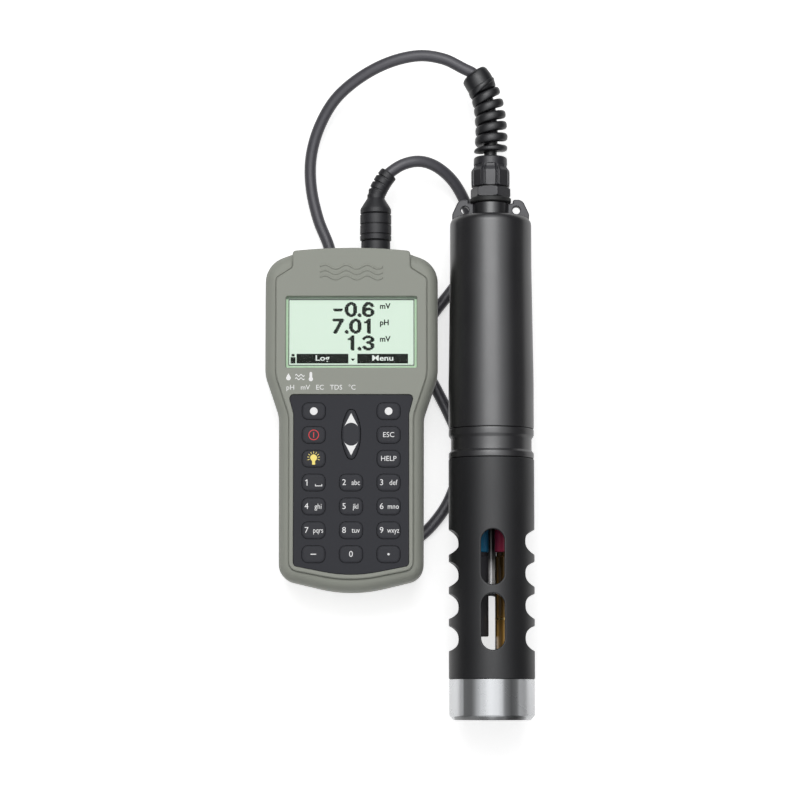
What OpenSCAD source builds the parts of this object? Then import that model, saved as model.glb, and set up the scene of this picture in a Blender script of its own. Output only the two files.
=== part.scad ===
// Multiparameter water quality probe, joined by a captive cable to its handheld meter.
// The instrument lies flat: +Y runs from the probe's foot to its cable gland, +X runs from
// the meter to the probe, +Z points away from the table that the cable rests on.
// The origin is under the middle of the whole instrument, at table height. All sizes in mm.

/* [Meter case] */
// Width of the case across the display
case_w = 93; // [90:0.5:96]
// Width of the case across the keypad
waist_w = 78; // [76:0.5:80]
// Thickness of the closed case, back to face
case_t = 35.2; // [34:0.2:38]
// Thickness of the case walls
wall = 2.6; // [2.2:0.1:3]
// Height of the rounded shoulder of the rim
rim_round_h = 9; // [7:0.5:11]
// Width of the rounded shoulder of the rim
rim_round_w = 6.1; // [5:0.1:6.5]
// Height of the flat face above the rim's inner edge
face_step = 2; // [1:0.25:3]

/* [Display] */
// Width of the display window
window_w = 70.4; // [66:0.2:71]
// Height of the display window
window_h = 38.7; // [36:0.1:40]
// Depth of the window's lens below the face
window_depth = 1.5; // [1:0.1:2]

/* [Keypad] */
// Distance between neighbouring key columns
key_pitch_x = 20; // [19:0.1:20.5]
// Distance between neighbouring key rows
key_pitch_y = 12.75; // [12.4:0.05:13]
// Width of one key
key_w = 12.4; // [11:0.1:13]
// Height of one key
key_h = 8.9; // [8:0.1:9.5]
// Downward travel of a key
key_travel = 1; // [0.5:0.1:1]

/* [Plug and cable] */
// Outer diameter of the plug's turning collar
collar_d = 17; // [16.4:0.1:17.4]
// Diameter of the plug's nose
plug_nose_d = 15.8; // [15:0.1:16]
// Outer diameter of the cable
cable_d = 6.3; // [5.5:0.1:6.5]

/* [Probe] */
// Diameter of the probe at the shield
probe_d = 46; // [45:0.1:47]
// Diameter of the housing at its cable end
housing_top_d = 44; // [43:0.1:45]
// Length of the steel foot ring
ring_l = 21.7; // [18:0.1:24]
// Distance from the foot to the top of the shield
shield_top = 139.4; // [138.6:0.1:140]
// Distance from the foot to the housing's shoulder
housing_top = 270.9; // [268:0.1:272]
// Width of the front and back slots
slot_w = 12.4; // [11:0.1:13.5]
// Height of the side windows along the probe
window_side_h = 13.1; // [12:0.1:13.6]
// Diameter of the two sensors' bodies
sensor_d = 14.8; // [14:0.1:15]
// Distance from the probe's axis to each sensor's axis
sensor_offset = 9.1; // [9:0.1:9.4]
// Diameter of the holes in the hanging lugs
lug_hole_d = 4.2; // [3.6:0.1:4.6]

/* [Hidden] */
$fn = 48;

// Colours
case_grey = [0.6, 0.62, 0.57];
keypad_grey = [0.27, 0.28, 0.3];
moulding_black = [0.13, 0.13, 0.14];
rubber_black = [0.2, 0.2, 0.21];
cable_grey = [0.34, 0.34, 0.37];
steel = [0.78, 0.8, 0.82];

// Slack that keeps touching pieces apart
slack = 0.05;
// Overshoot of a cutting shape past the face it cuts
cut = 1;

// Heights in the meter
cable_r = cable_d / 2;
rest_gap = 0.3;
back_z = cable_d + rest_gap;
face_z = back_z + case_t;
split_z = back_z + case_t / 2;
rim_z = face_z - face_step;
ceiling_z = face_z - 4.2;
back_inset = 4;
back_round_h = 7.4;
floor_z = back_z + 4.2;

// Places of the probe beside the meter's middle
probe_x = 75.2;
foot_y = -160.1;
probe_r = probe_d / 2;
probe_z = back_z + probe_r;
cable_top_y = 200.5 + cable_r;
origin_x = (probe_x + probe_r - case_w / 2) / 2;
origin_y = (foot_y + cable_top_y) / 2;

// Lays a shape in the meter's frame, whose middle is the middle of the case
module at_meter() {
  translate([-origin_x, -origin_y, 0]) children();
}

// Lays a shape drawn along +Z from the probe's foot; its -Y side faces up
module at_probe() {
  translate([probe_x - origin_x, foot_y - origin_y, probe_z]) rotate([-90, 0, 0]) children();
}

// Lays a shape drawn along +Z at the place of a connector on the meter's top wall
module at_connector(x, z) {
  at_meter() translate([x, 0, z]) rotate([-90, 0, 0]) children();
}

// ---- Outlines ----

function unit(v) = v / norm(v);
function cross2(a, b) = a[0] * b[1] - a[1] * b[0];
function flat(v) = [v[0], v[1]];
function left_normal(a, b) = let (e = unit(flat(b) - flat(a))) [-e[1], e[0]];

// Points of one rounded corner of a counterclockwise outline
function corner_points(a, v, b, steps) =
  let (
    n1 = left_normal(a, v),
    n2 = left_normal(v, b),
    turn = atan2(cross2(n1, n2), n1 * n2),
    way = sign(turn),
    r = v[2],
    centre = flat(v) + way * r * (n1 + n2) / (1 + n1 * n2),
    start = -way * r * n1
  )
  [for (k = [0:steps]) let (t = turn * k / steps)
    centre + [start[0] * cos(t) - start[1] * sin(t), start[0] * sin(t) + start[1] * cos(t)]];

// Outline through corners given as [x, y, corner radius]
function rounded(corners, steps = 4) =
  let (n = len(corners))
  [for (i = [0:n - 1])
    each corner_points(corners[(i + n - 1) % n], corners[i], corners[(i + 1) % n], steps)];

// The same corners moved inwards by d
function inset(corners, d) =
  let (n = len(corners))
  [for (i = [0:n - 1])
    let (
      v = corners[i],
      n1 = left_normal(corners[(i + n - 1) % n], v),
      n2 = left_normal(v, corners[(i + 1) % n]),
      moved = flat(v) + d * (n1 + n2) / (1 + n1 * n2),
      r = cross2(n1, n2) > 0 ? max(v[2] - d, 0.3) : v[2] + d
    )
    [moved[0], moved[1], r]];

// A right-hand half, listed from bottom to top, closed by its mirror image
function both_sides(half) = concat(half, [for (i = [len(half) - 1:-1:0])
  if (half[i][0] > 0) [-half[i][0], half[i][1], half[i][2]]]);

// Corners of a rectangle centred on the origin
function box_corners(w, h, r) =
  [[-w / 2, -h / 2, r], [w / 2, -h / 2, r], [w / 2, h / 2, r], [-w / 2, h / 2, r]];

// Outer edge of the case's rim
rim_corners = both_sides([
  [0, -94.1, 75],
  [waist_w / 2 - 0.2, -84.8, 9.5],
  [waist_w / 2, 2.2, 20],
  [case_w / 2, 24.5, 20],
  [case_w / 2, 84.9, 14.2],
  [28.6, 91.5, 4]
]);

// Edge of the raised face, which ends in a hood over the connectors
hood_half_w = 31.6;
face_half_w = case_w / 2 - rim_round_w;
face_waist = waist_w / 2 - rim_round_w + 0.3;
face_corners = both_sides([
  [0, -86.9, 75],
  [face_waist - 0.1, -80.3, 5],
  [face_waist, 2, 20],
  [face_half_w, 23.6, 20],
  [face_half_w, 76.2, 3],
  [hood_half_w, 81.8, 2],
  [hood_half_w, 90.9, 1.8],
  [0, 94, 300]
]);

// Edge of the keypad panel
panel_corners = both_sides([
  [0, -84.5, 75],
  [30.8, -78.4, 2.2],
  [30.8, 2.8, 6],
  [33.6, 13.2, 2.2]
]);

// ---- Solids built from outlines ----

module plate(corners, z0, z1, steps = 4) {
  translate([0, 0, z0]) linear_extrude(z1 - z0) polygon(rounded(corners, steps));
}

// Closed skin over rings of points, each ring counterclockwise about the direction of travel
module skin(rings) {
  n = len(rings[0]);
  m = len(rings);
  sides = [for (k = [0:m - 2]) for (i = [0:n - 1])
    let (a = k * n + i, b = k * n + (i + 1) % n, c = b + n, d = a + n)
    each [[a, d, c], [a, c, b]]];
  start = [for (i = [0:n - 1]) i];
  end = [for (i = [n - 1:-1:0]) (m - 1) * n + i];
  polyhedron(points = [for (ring = rings) each ring], faces = concat([start], sides, [end]), convexity = 8);
}

// Nested plates that follow a rounded edge in steps; way is 1 for an upper edge and -1 for a lower one
module terraces(corners, edge_z, way, height, width, steps) {
  for (k = [0:steps - 1]) {
    a = 90 * k / steps;
    b = 90 * (k + 1) / steps;
    base_z = edge_z - way * (height + cut);
    end_z = edge_z - way * height * (1 - sin(b));
    plate(inset(corners, width * (1 - cos((a + b) / 2))), min(base_z, end_z), max(base_z, end_z));
  }
}

// ---- Paths for the cable and its guards ----

// Smooth path through the given points
function spline_point(a, b, c, d, t) =
  0.5 * (2 * b + (c - a) * t + (2 * a - 5 * b + 4 * c - d) * t * t + (3 * b - a - 3 * c + d) * t * t * t);
function spline(p, steps) =
  let (n = len(p))
  concat([for (i = [0:n - 2]) for (k = [0:steps - 1])
    spline_point(p[max(i - 1, 0)], p[i], p[i + 1], p[min(i + 2, n - 1)], k / steps)], [p[n - 1]]);
function heading(path, k) = unit(path[min(k + 1, len(path) - 1)] - path[max(k - 1, 0)]);
function side_of(t) = unit(cross([0, 0, 1], t));

// Point at an angle and a radius about a path
function around(path, k, r, angle) =
  let (t = heading(path, k), side = side_of(t), up = cross(t, side))
  path[k] + r * cos(angle) * side + r * sin(angle) * up;

// Round bar along a path, with one radius for each station
module sweep(path, radii, sides) {
  skin([for (k = [0:len(path) - 1]) [for (i = [0:sides - 1]) around(path, k, radii[k], 360 * i / sides)]]);
}
function same(r, path) = [for (p = path) r];

plug_x = 12.9;
plug_z = split_z;
nut_top = foot_y + 303.9;

// Moulded boot that leads the cable out of the plug
boot_points = [
  [plug_x + 0.1, 122, plug_z],
  [plug_x + 0.9, 125.6, plug_z],
  [15.4, 129, plug_z],
  [17.7, 132.8, plug_z],
  [20.5, 136.4, plug_z]
];

// Middle of the cable where it curves beside, under and over the meter and the probe
cable_points = concat(boot_points, [
  [28, 141.2, 23.6],
  [37, 143.1, 22],
  [46, 140.8, 18.5],
  [54.6, 134.4, 13],
  [61, 124.8, 8],
  [65.6, 113, 4.3],
  [67, 99.5, cable_r],
  [62.4, 86, cable_r],
  [54.4, 74.4, cable_r],
  [45.6, 63.2, cable_r],
  [39.2, 53, cable_r],
  [37.6, 42.2, cable_r],
  [40.4, 31, cable_r],
  [46.2, 19.5, cable_r],
  [53, 6, cable_r],
  [58, -6.8, cable_r],
  [58.6, -20.5, cable_r],
  [55.4, -35, cable_r],
  [48.2, -48.8, cable_r],
  [36, -61.5, cable_r],
  [17.9, -70.8, cable_r],
  [-3.9, -70.5, cable_r],
  [-21, -58, cable_r],
  [-28.4, -37, cable_r],
  [-28.6, -12, cable_r],
  [-24.6, 14, cable_r],
  [-18.2, 40, cable_r],
  [-12.4, 64, cable_r],
  [-10.2, 83, cable_r],
  [-13, 98.8, cable_r],
  [-18.9, 114, 3.4],
  [-22.8, 131.4, 4.4],
  [-22.9, 148, 6.6],
  [-18.4, 164, 10.4],
  [-9.5, 178.6, 15.8],
  [4, 189.6, 21],
  [19.8, 197.2, 25.2],
  [36, 200.5, 27.6],
  [49.8, 198.4, 29],
  [60.6, 193, probe_z]
]);

// Middle of the bend guard, from the gland nut to its tip
guard_points = [
  [probe_x, nut_top - 4.8, probe_z],
  [probe_x, nut_top + 1, probe_z],
  [probe_x + 0.4, nut_top + 7, probe_z],
  [probe_x + 0.6, nut_top + 13.6, probe_z],
  [probe_x + 0.2, nut_top + 20, probe_z],
  [probe_x - 0.5, nut_top + 26.4, probe_z],
  [probe_x - 1.9, nut_top + 32.4, probe_z],
  [probe_x - 4.1, nut_top + 38, probe_z],
  [probe_x - 7.2, nut_top + 43.4, probe_z],
  [probe_x - 9.4, nut_top + 46.5, probe_z]
];
guard_count = len(guard_points);
cable_end = [probe_x, foot_y + 262, probe_z];
cable_spline = spline(concat(cable_points,
  [for (i = [guard_count - 1:-1:0]) guard_points[i]], [[probe_x, foot_y + 280, probe_z], cable_end]), 2);
// The cable never dips below the table
cable_path = [for (p = cable_spline) [p[0], p[1], max(p[2], cable_r)]];
// Station where the cable starts inside the plug's boot
cable_first = 4;
cable_sides = 12;
// Gap between the cable and the mouldings round it
cable_gap = 0.4;

// ---- Meter ----

window_y = 46.95;
lens_t = 1.5;
lens_z = face_z - window_depth;
lens_lip = 1.4;
panel_z = face_z - 0.8;
panel_t = 1.6;
panel_lip = 2;

// Holes in the meter's top wall
socket_hole_r = 10;
usb_x = -13;
usb_z = back_z + 11.5;
usb_w = 9.4;
usb_h = 4.6;
top_wall_y = 91.5;
wall_inner_y = top_wall_y - wall;

module socket_hole() {
  translate([plug_x, wall_inner_y - cut, plug_z]) rotate([-90, 0, 0]) cylinder(r = socket_hole_r + slack, h = 8);
}

module usb_hole() {
  translate([usb_x - usb_w / 2, wall_inner_y - cut, usb_z - usb_h / 2]) cube([usb_w, 8, usb_h]);
}

// Screws that close the case: [x, y]
case_screw_places = [for (side = [-1, 1]) each [[side * 39.2, 68], [side * 32.2, 0], [side * 25, -81.2]]];
boss_r = 3;
screw_head_r = 2.6;
screw_shank_r = 1.2;
screw_seat_z = back_z + 6;
screw_tip_z = split_z + 9;

gasket_w = 1;
gasket_h = 1.6;

module front_case() {
  color(case_grey) at_meter() difference() {
    union() {
      difference() {
        union() {
          plate(rim_corners, split_z, rim_z - rim_round_h);
          terraces(rim_corners, rim_z, 1, rim_round_h, rim_round_w, 6);
          plate(face_corners, split_z + 6, face_z);
        }
        plate(inset(rim_corners, wall), split_z - cut, ceiling_z);
      }
      for (p = case_screw_places) translate([p[0], p[1], split_z]) cylinder(r = boss_r, h = ceiling_z - split_z);
    }
    for (p = case_screw_places) translate([p[0], p[1], split_z - cut])
      cylinder(r = screw_shank_r + slack, h = screw_tip_z - split_z + cut + 0.5);
    translate([0, window_y, 0]) {
      plate(box_corners(window_w, window_h, 1), lens_z - lens_t - slack, face_z + cut);
      plate(box_corners(window_w - 2 * lens_lip, window_h - 2 * lens_lip, 0.6), ceiling_z - cut, lens_z);
    }
    plate(inset(panel_corners, -0.15), panel_z - panel_t - slack, face_z + cut);
    plate(inset(panel_corners, panel_lip), ceiling_z - cut, panel_z);
    socket_hole();
  }
}

battery_r = 7.25;
battery_l = 50.5;
battery_pitch = 14.8;
battery_y = -44.5;
battery_z = back_z + 10.3;
bay_w = 60;
bay_l = 56.6;
cover_t = 2.2;
cover_w = 66;
cover_end_y = -76.2;
cover_top_y = -6.5;
cover_l = cover_top_y - cover_end_y;
cover_y = (cover_top_y + cover_end_y) / 2;
cover_screw_places = [[-24, cover_top_y - 4], [24, cover_top_y - 4]];
seal_t = 1;
seal_w = 1.2;

module rear_case() {
  color(case_grey) at_meter() difference() {
    union() {
      difference() {
        union() {
          plate(rim_corners, back_z + back_round_h, split_z);
          terraces(rim_corners, back_z, -1, back_round_h, back_inset, 4);
        }
        plate(inset(rim_corners, wall), floor_z, split_z + cut);
      }
      for (p = case_screw_places) translate([p[0], p[1], floor_z - cut])
        cylinder(r = boss_r, h = split_z - floor_z + cut);
    }
    for (p = case_screw_places) translate([p[0], p[1], 0]) {
      cylinder(r = screw_head_r + 0.2, h = screw_seat_z);
      cylinder(r = screw_shank_r + 0.2, h = split_z + cut);
    }
    translate([0, cover_y, 0]) plate(box_corners(cover_w + 0.4, cover_l + 0.4, 5), 0, back_z + cover_t + slack);
    translate([0, battery_y, 0]) {
      plate(box_corners(bay_w + 2 * seal_w, bay_l + 2 * seal_w, 5), 0, back_z + cover_t + seal_t + slack);
      plate(box_corners(bay_w, bay_l, 4), 0, floor_z + cut);
    }
    for (p = cover_screw_places) translate([p[0], p[1], 0]) cylinder(r = 1.05, h = floor_z + cut);
    socket_hole();
    usb_hole();
  }
}

// Rubber bead that lines the joint between the shells from inside, up to the socket's flange
module case_gasket() {
  color(rubber_black) at_meter() difference() {
    plate(inset(rim_corners, wall + slack), split_z - gasket_h / 2, split_z + gasket_h / 2);
    plate(inset(rim_corners, wall + gasket_w), split_z - gasket_h, split_z + gasket_h);
    translate([plug_x, 80, plug_z]) rotate([-90, 0, 0]) cylinder(r = socket_hole_r + 1.3, h = 20);
  }
}

// Pan-head screw with its head at the bottom and a cross recess in it
module screw(head_r, head_h, shank_r, length) {
  difference() {
    union() {
      cylinder(r = head_r, h = head_h);
      cylinder(r = shank_r, h = length);
    }
    translate([-head_r * 0.6, -0.25, -cut]) cube([head_r * 1.2, 0.5, cut + head_h * 0.5]);
    translate([-0.25, -head_r * 0.6, -cut]) cube([0.5, head_r * 1.2, cut + head_h * 0.5]);
  }
}

module case_screws() {
  color(steel) at_meter() for (p = case_screw_places) translate([p[0], p[1], screw_seat_z - 2 - slack])
    screw(screw_head_r, 2, screw_shank_r, screw_tip_z - screw_seat_z + 2);
}

module display_window() {
  color([0.85, 0.9, 0.88, 0.5]) at_meter() translate([0, window_y, 0])
    plate(box_corners(window_w - 0.1, window_h - 0.1, 1), lens_z - lens_t, lens_z);
}

board_z = face_z - 8.1;
board_t = 1.6;
board_top = board_z + board_t;

module display_module() {
  color([0.8, 0.9, 0.8]) at_meter() translate([0, window_y, 0]) {
    plate(box_corners(window_w - 0.4, window_h + 4, 1), board_top + slack, ceiling_z - slack);
    plate(box_corners(window_w - 2 * lens_lip - 0.4, window_h - 2 * lens_lip - 0.4, 0.5),
      ceiling_z - 2 * slack, lens_z - lens_t - 2 * slack);
  }
}

key_top_z = face_z - 0.05;
key_foot_z = panel_z - panel_t - 1.3;
key_row_y = 4.2;
key_gap = 0.25;
key_lip = 0.7;
rocker_y = key_row_y - 0.97 * key_pitch_y;
rocker_l = 26.7;
rocker_w = 10.7;

// Outline of the rocker: a pointed oval
rocker_tip = rocker_l / 2 + 4.1;
function rocker_corners(grow) = [
  [0, -rocker_tip - grow, 2.5],
  [rocker_w / 2 + grow, -4, 9],
  [rocker_w / 2 + grow, 4, 9],
  [0, rocker_tip + grow, 2.5],
  [-rocker_w / 2 - grow, 4, 9],
  [-rocker_w / 2 - grow, -4, 9]
];

// Key places: column -1, 0 or 1 and row 0 to 6 from the top
function key_place(column, row) = [column * key_pitch_x, key_row_y - row * key_pitch_y];
key_cells = concat([for (row = [0:2]) each [[-1, row], [1, row]]],
  [for (row = [3:6]) each [[-1, row], [0, row], [1, row]]]);

module key(column, row) {
  p = key_place(column, row);
  color(keypad_grey) at_meter() translate([p[0], p[1], 0]) {
    plate(box_corners(key_w, key_h, 3.2), key_foot_z, key_top_z - 0.3);
    plate(box_corners(key_w - 0.6, key_h - 0.6, 2.9), key_top_z - 0.35, key_top_z);
    plate(box_corners(key_w + 2 * key_lip, key_h + 2 * key_lip, 3.8), key_foot_z, panel_z - panel_t - 0.1);
  }
}

module keypad_panel() {
  color(keypad_grey) at_meter() difference() {
    plate(panel_corners, panel_z - panel_t, panel_z);
    for (cell = key_cells) translate(concat(key_place(cell[0], cell[1]), [0]))
      plate(box_corners(key_w + 2 * key_gap, key_h + 2 * key_gap, 3.4), panel_z - panel_t - cut, panel_z + cut);
    translate([0, rocker_y, 0]) plate(rocker_corners(key_gap), panel_z - panel_t - cut, panel_z + cut);
  }
}

module key_soft_left() { key(-1, 0); }
module key_soft_right() { key(1, 0); }
module key_power() { key(-1, 1); }
module key_escape() { key(1, 1); }
module key_lamp() { key(-1, 2); }
module key_help() { key(1, 2); }
module key_1() { key(-1, 3); }
module key_2() { key(0, 3); }
module key_3() { key(1, 3); }
module key_4() { key(-1, 4); }
module key_5() { key(0, 4); }
module key_6() { key(1, 4); }
module key_7() { key(-1, 5); }
module key_8() { key(0, 5); }
module key_9() { key(1, 5); }
module key_minus() { key(-1, 6); }
module key_0() { key(0, 6); }
module key_point() { key(1, 6); }

// Rocker with a rounded bar across its underside that it tilts on, and a foot over each switch
rocker_pivot_z = key_foot_z;
rocker_bar_r = 0.8;
rocker_switch_y = 8;
module key_rocker() {
  color(keypad_grey) at_meter() translate([0, rocker_y, 0]) {
    plate(rocker_corners(0), key_foot_z + 0.5, key_top_z);
    translate([-4, 0, rocker_pivot_z]) rotate([0, 90, 0]) cylinder(r = rocker_bar_r, h = 8);
    for (side = [-1, 1]) translate([0, side * rocker_switch_y, key_foot_z - 0.3]) cylinder(r = 1.5, h = 1);
  }
}

dome_h = key_foot_z - key_travel - board_top - 0.1;
module dome_switches() {
  color(steel) at_meter() {
    plate(inset(panel_corners, 4.5), board_top + slack, board_top + 0.3);
    for (cell = key_cells) translate(concat(key_place(cell[0], cell[1]), [board_top + 0.2]))
      cylinder(r1 = 3, r2 = 2, h = dome_h - 0.2);
    for (side = [-1, 1]) translate([0, rocker_y + side * rocker_switch_y, board_top + 0.2])
      cylinder(r1 = 3, r2 = 2, h = dome_h - 0.2);
    translate([-3, rocker_y - 1, board_top + 0.2]) cube([6, 2, rocker_pivot_z - rocker_bar_r - 0.02 - board_top - 0.2]);
  }
}

module main_board() {
  color([0.1, 0.35, 0.2]) at_meter() {
    translate([0, -3, 0]) plate(box_corners(58, 142, 2), board_z, board_top);
    translate([0, 20, board_z - 1.8]) for (x = [-16, 0, 16]) translate([x - 4, -4, 0]) cube([8, 8, 1.9]);
  }
}

module battery_cover() {
  color(case_grey) at_meter() difference() {
    translate([0, cover_y, 0]) plate(box_corners(cover_w, cover_l, 5), back_z, back_z + cover_t);
    for (p = cover_screw_places) translate([p[0], p[1], 0]) {
      cylinder(r = 2.4, h = back_z + 1.2);
      cylinder(r = 1.3, h = back_z + cover_t + cut);
    }
    for (k = [-3:3]) translate([-9, cover_end_y + 9 + 2.4 * (k + 3), back_z - cut]) cube([18, 1, cut + 0.5]);
  }
}

module battery_gasket() {
  color(rubber_black) at_meter() translate([0, battery_y, 0]) difference() {
    plate(box_corners(bay_w + 2 * seal_w - 0.1, bay_l + 2 * seal_w - 0.1, 4.9),
      back_z + cover_t + slack / 2, back_z + cover_t + seal_t);
    plate(box_corners(bay_w + 0.1, bay_l + 0.1, 4), back_z, back_z + cover_t + seal_t + cut);
  }
}

module battery_cover_screws() {
  color(steel) at_meter() for (p = cover_screw_places) translate([p[0], p[1], back_z + 0.1])
    screw(2.1, 1.05, 1, 3.8);
}

battery_places = [for (k = [-1.5:1:1.5]) k * battery_pitch];
module batteries() {
  color([0.25, 0.35, 0.5]) at_meter() for (i = [0:3])
    translate([battery_places[i], battery_y, battery_z]) rotate([i % 2 == 0 ? -90 : 90, 0, 0])
      translate([0, 0, -battery_l / 2]) {
        cylinder(r = battery_r, h = battery_l - 1.2);
        cylinder(r = 2.7, h = battery_l);
      }
}

// Flat contact for each button end and a coil spring for each plain end
module battery_contacts() {
  spring_l = 2;
  color(steel) at_meter() for (i = [0:3]) for (end = [-1, 1]) {
    plain = (i % 2 == 0) == (end < 0);
    place_y = battery_y + end * (battery_l / 2 + spring_l);
    translate([battery_places[i] - 5, place_y + (end < 0 ? -0.4 : 0), battery_z - 5]) cube([10, 0.4, 10]);
    if (plain) for (k = [0:2]) translate([battery_places[i], place_y - end * (0.35 + 0.62 * k), battery_z])
      rotate([90, 0, 0]) rotate_extrude() translate([3.6 - 0.6 * k, 0]) circle(r = 0.32, $fn = 16);
    if (!plain) translate([battery_places[i], place_y - (end > 0 ? spring_l : 0), battery_z])
      rotate([-90, 0, 0]) cylinder(r = 2, h = spring_l - slack);
  }
}

nose_start = 83;
nose_r = plug_nose_d / 2;
socket_floor = 82;
pin_r = 0.5;
pin_circle_r = 4.4;
pin_angles = [for (k = [0:6]) 30 + 50 * k];

module probe_socket() {
  color(moulding_black) at_connector(plug_x, plug_z) difference() {
    union() {
      translate([0, 0, 77]) cylinder(r = 9.2, h = 14.6);
      translate([0, 0, wall_inner_y - 2]) cylinder(r = 11, h = 2 - slack);
      translate([0, 0, wall_inner_y - 1]) cylinder(r = socket_hole_r, h = wall + 1.4);
    }
    translate([0, 0, socket_floor]) cylinder(r = nose_r + 0.07, h = 20);
    for (a = pin_angles) rotate(a) translate([pin_circle_r, 0, 79]) cylinder(r = pin_r + 0.1, h = 6);
  }
}

module usb_socket() {
  color(steel) at_meter() translate([usb_x, 0, usb_z]) difference() {
    translate([-4.2, 80, -1.9]) cube([8.4, wall_inner_y - 80.5, 3.8]);
    translate([-3.8, 82, -1.5]) cube([7.6, 12, 3]);
  }
}

// Rubber plug that closes the computer port
module usb_cap() {
  color(rubber_black) at_meter() translate([usb_x, 0, usb_z]) {
    translate([0, top_wall_y + 1.9, 0]) rotate([90, 0, 0]) plate(box_corners(13.4, 8.4, 2.4), 0, 1.8);
    translate([-usb_w / 2 + 0.1, wall_inner_y - 0.2, -usb_h / 2 + 0.1]) cube([usb_w - 0.2, wall + 0.4, usb_h - 0.2]);
  }
}

collar_start = 98.7;
collar_end = 113.3;
collar_r = collar_d / 2;
core_r = 6.6;
cone_end = 123.3;

module plug_body() {
  boot = spline(boot_points, 3);
  mouth = [for (k = [cable_first:cable_first + 9]) cable_path[k]];
  color(rubber_black) at_meter() difference() {
    union() {
      translate([plug_x, 0, plug_z]) rotate([-90, 0, 0]) {
        translate([0, 0, nose_start]) cylinder(r = nose_r, h = collar_start - 0.3 - nose_start);
        translate([0, 0, nose_start + 5]) cylinder(r = core_r, h = collar_end + cut - nose_start - 5);
        translate([0, 0, collar_end + 0.3]) cylinder(r = collar_r - 0.1, h = 2.1);
        translate([0, 0, collar_end + 2.4]) cylinder(r1 = collar_r - 0.1, r2 = 4.75, h = cone_end - collar_end - 2.4);
      }
      sweep(boot, same(4, boot), 16);
      for (k = [1:3:10]) sweep([boot[k], boot[k + 1], boot[k + 2]], [4.7, 4.85, 4.7], 16);
    }
    sweep(mouth, same(cable_r + cable_gap, mouth), cable_sides);
  }
}

module plug_collar() {
  color(rubber_black) at_connector(plug_x, plug_z) translate([0, 0, collar_start]) difference() {
    cylinder(r = collar_r, h = collar_end - collar_start);
    translate([0, 0, -cut]) cylinder(r = core_r + slack, h = 20);
    for (at = [3.7, 9.1]) translate([0, 0, at]) difference() {
      cylinder(r = collar_r + cut, h = 0.6);
      translate([0, 0, -cut]) cylinder(r = collar_r - 0.6, h = 3);
    }
  }
}

module plug_pins() {
  color([0.85, 0.7, 0.3]) at_connector(plug_x, plug_z)
    for (a = pin_angles) rotate(a) translate([pin_circle_r, 0, 79.5]) cylinder(r = pin_r, h = nose_start - 79.5);
}

module cable() {
  body = [for (k = [cable_first:len(cable_path) - 1]) cable_path[k]];
  color(cable_grey) at_meter() sweep(body, same(cable_r, body), cable_sides);
}

// ---- Cable gland ----

guard_turns = 6;
guard_start_r = 8.7;
guard_tip_r = 7.2;
guard_rib_r = 1.9;
// How far the bore runs on past the tip, so that it opens fully
bore_overrun = 3;
module bend_guard() {
  axis = spline(guard_points, 9);
  last = len(axis) - 1;
  core = [for (k = [3:6:last]) axis[k]];
  rib_start = 11;
  rib_end = last - 10;
  rib = [for (k = [rib_start:rib_end])
    let (s = (k - rib_start) / (rib_end - rib_start), outer = guard_start_r + s * (guard_tip_r - guard_start_r))
    around(axis, k, outer - guard_rib_r, 360 * guard_turns * s)];
  tip = [for (k = [last - 14, last - 10, last - 3, last]) axis[k]];
  bore = concat(axis, [axis[last] + bore_overrun * heading(axis, last)]);
  color(moulding_black) difference() {
    union() {
      at_meter() {
        sweep(core, same(4.5, core), 16);
        sweep(rib, same(guard_rib_r, rib), 6);
        sweep(tip, [6.4, guard_tip_r, guard_tip_r - 0.2, 5.6], 16);
      }
      at_probe() translate([0, 0, 299.2]) cylinder(r = 7.6, h = 1.4);
    }
    at_meter() sweep(bore, same(cable_r + cable_gap, bore), cable_sides);
  }
}

nut_start = 287.6;
nut_grip_r = 10.2;
nut_dome_r = 8.9;
module gland_nut() {
  color(moulding_black) at_probe() difference() {
    union() {
      translate([0, 0, nut_start]) cylinder(r = nut_grip_r, h = 8.6);
      for (k = [0:7]) rotate(45 * k + 22.5) translate([0, 0, nut_start]) intersection() {
        translate([nut_grip_r - 1, -2.6, 0]) cube([1.6, 5.2, 8.6]);
        cylinder(r = 10.8, h = 8.6);
      }
      translate([0, 0, nut_start + 8.6]) cylinder(r1 = nut_grip_r, r2 = nut_dome_r, h = 3.1);
      translate([0, 0, nut_start + 11.7]) cylinder(r = nut_dome_r, h = 4.6);
    }
    translate([0, 0, nut_start - cut]) cylinder(r = 8.35, h = 300.8 - nut_start + cut);
    cylinder(r = 4.8, h = 320);
  }
}

module gland_seal() {
  color(rubber_black) at_probe() translate([0, 0, 290]) difference() {
    cylinder(r = 5.4, h = 8.8);
    translate([0, 0, -cut]) cylinder(r = cable_r + slack, h = 20);
  }
}

hex_start = 281.5;
hex_r = 10.9;
boss_r1 = 9.5;
boss_end = 278.6;
module gland_body() {
  color(moulding_black) at_probe() difference() {
    union() {
      translate([0, 0, 262]) cylinder(r = 6.45, h = 20);
      translate([0, 0, hex_start]) rotate(11) cylinder(r = hex_r, h = 5.4, $fn = 6);
      translate([0, 0, hex_start + 5]) cylinder(r = 8.3, h = 297 - hex_start - 5);
    }
    translate([0, 0, 261]) cylinder(r = cable_r + 0.3, h = 40);
    translate([0, 0, 290 - slack]) cylinder(r = 5.45, h = 20);
  }
}

module gland_washer() {
  color([0.08, 0.08, 0.08]) at_probe() translate([0, 0, boss_end + slack]) difference() {
    cylinder(r = 11.2, h = hex_start - boss_end - 2 * slack);
    translate([0, 0, -cut]) cylinder(r = 6.55, h = 20);
  }
}

// ---- Probe ----

seam = 155.5;
housing_r = probe_r - 0.05;
top_r = housing_top_d / 2;
shoulder_r = 4.6;
housing_wall = 2.3;
spigot_r = 20.3;
lug_t = 5;
lug_hole_x = 13.9;
lug_hole_y = 274.6;

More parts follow.
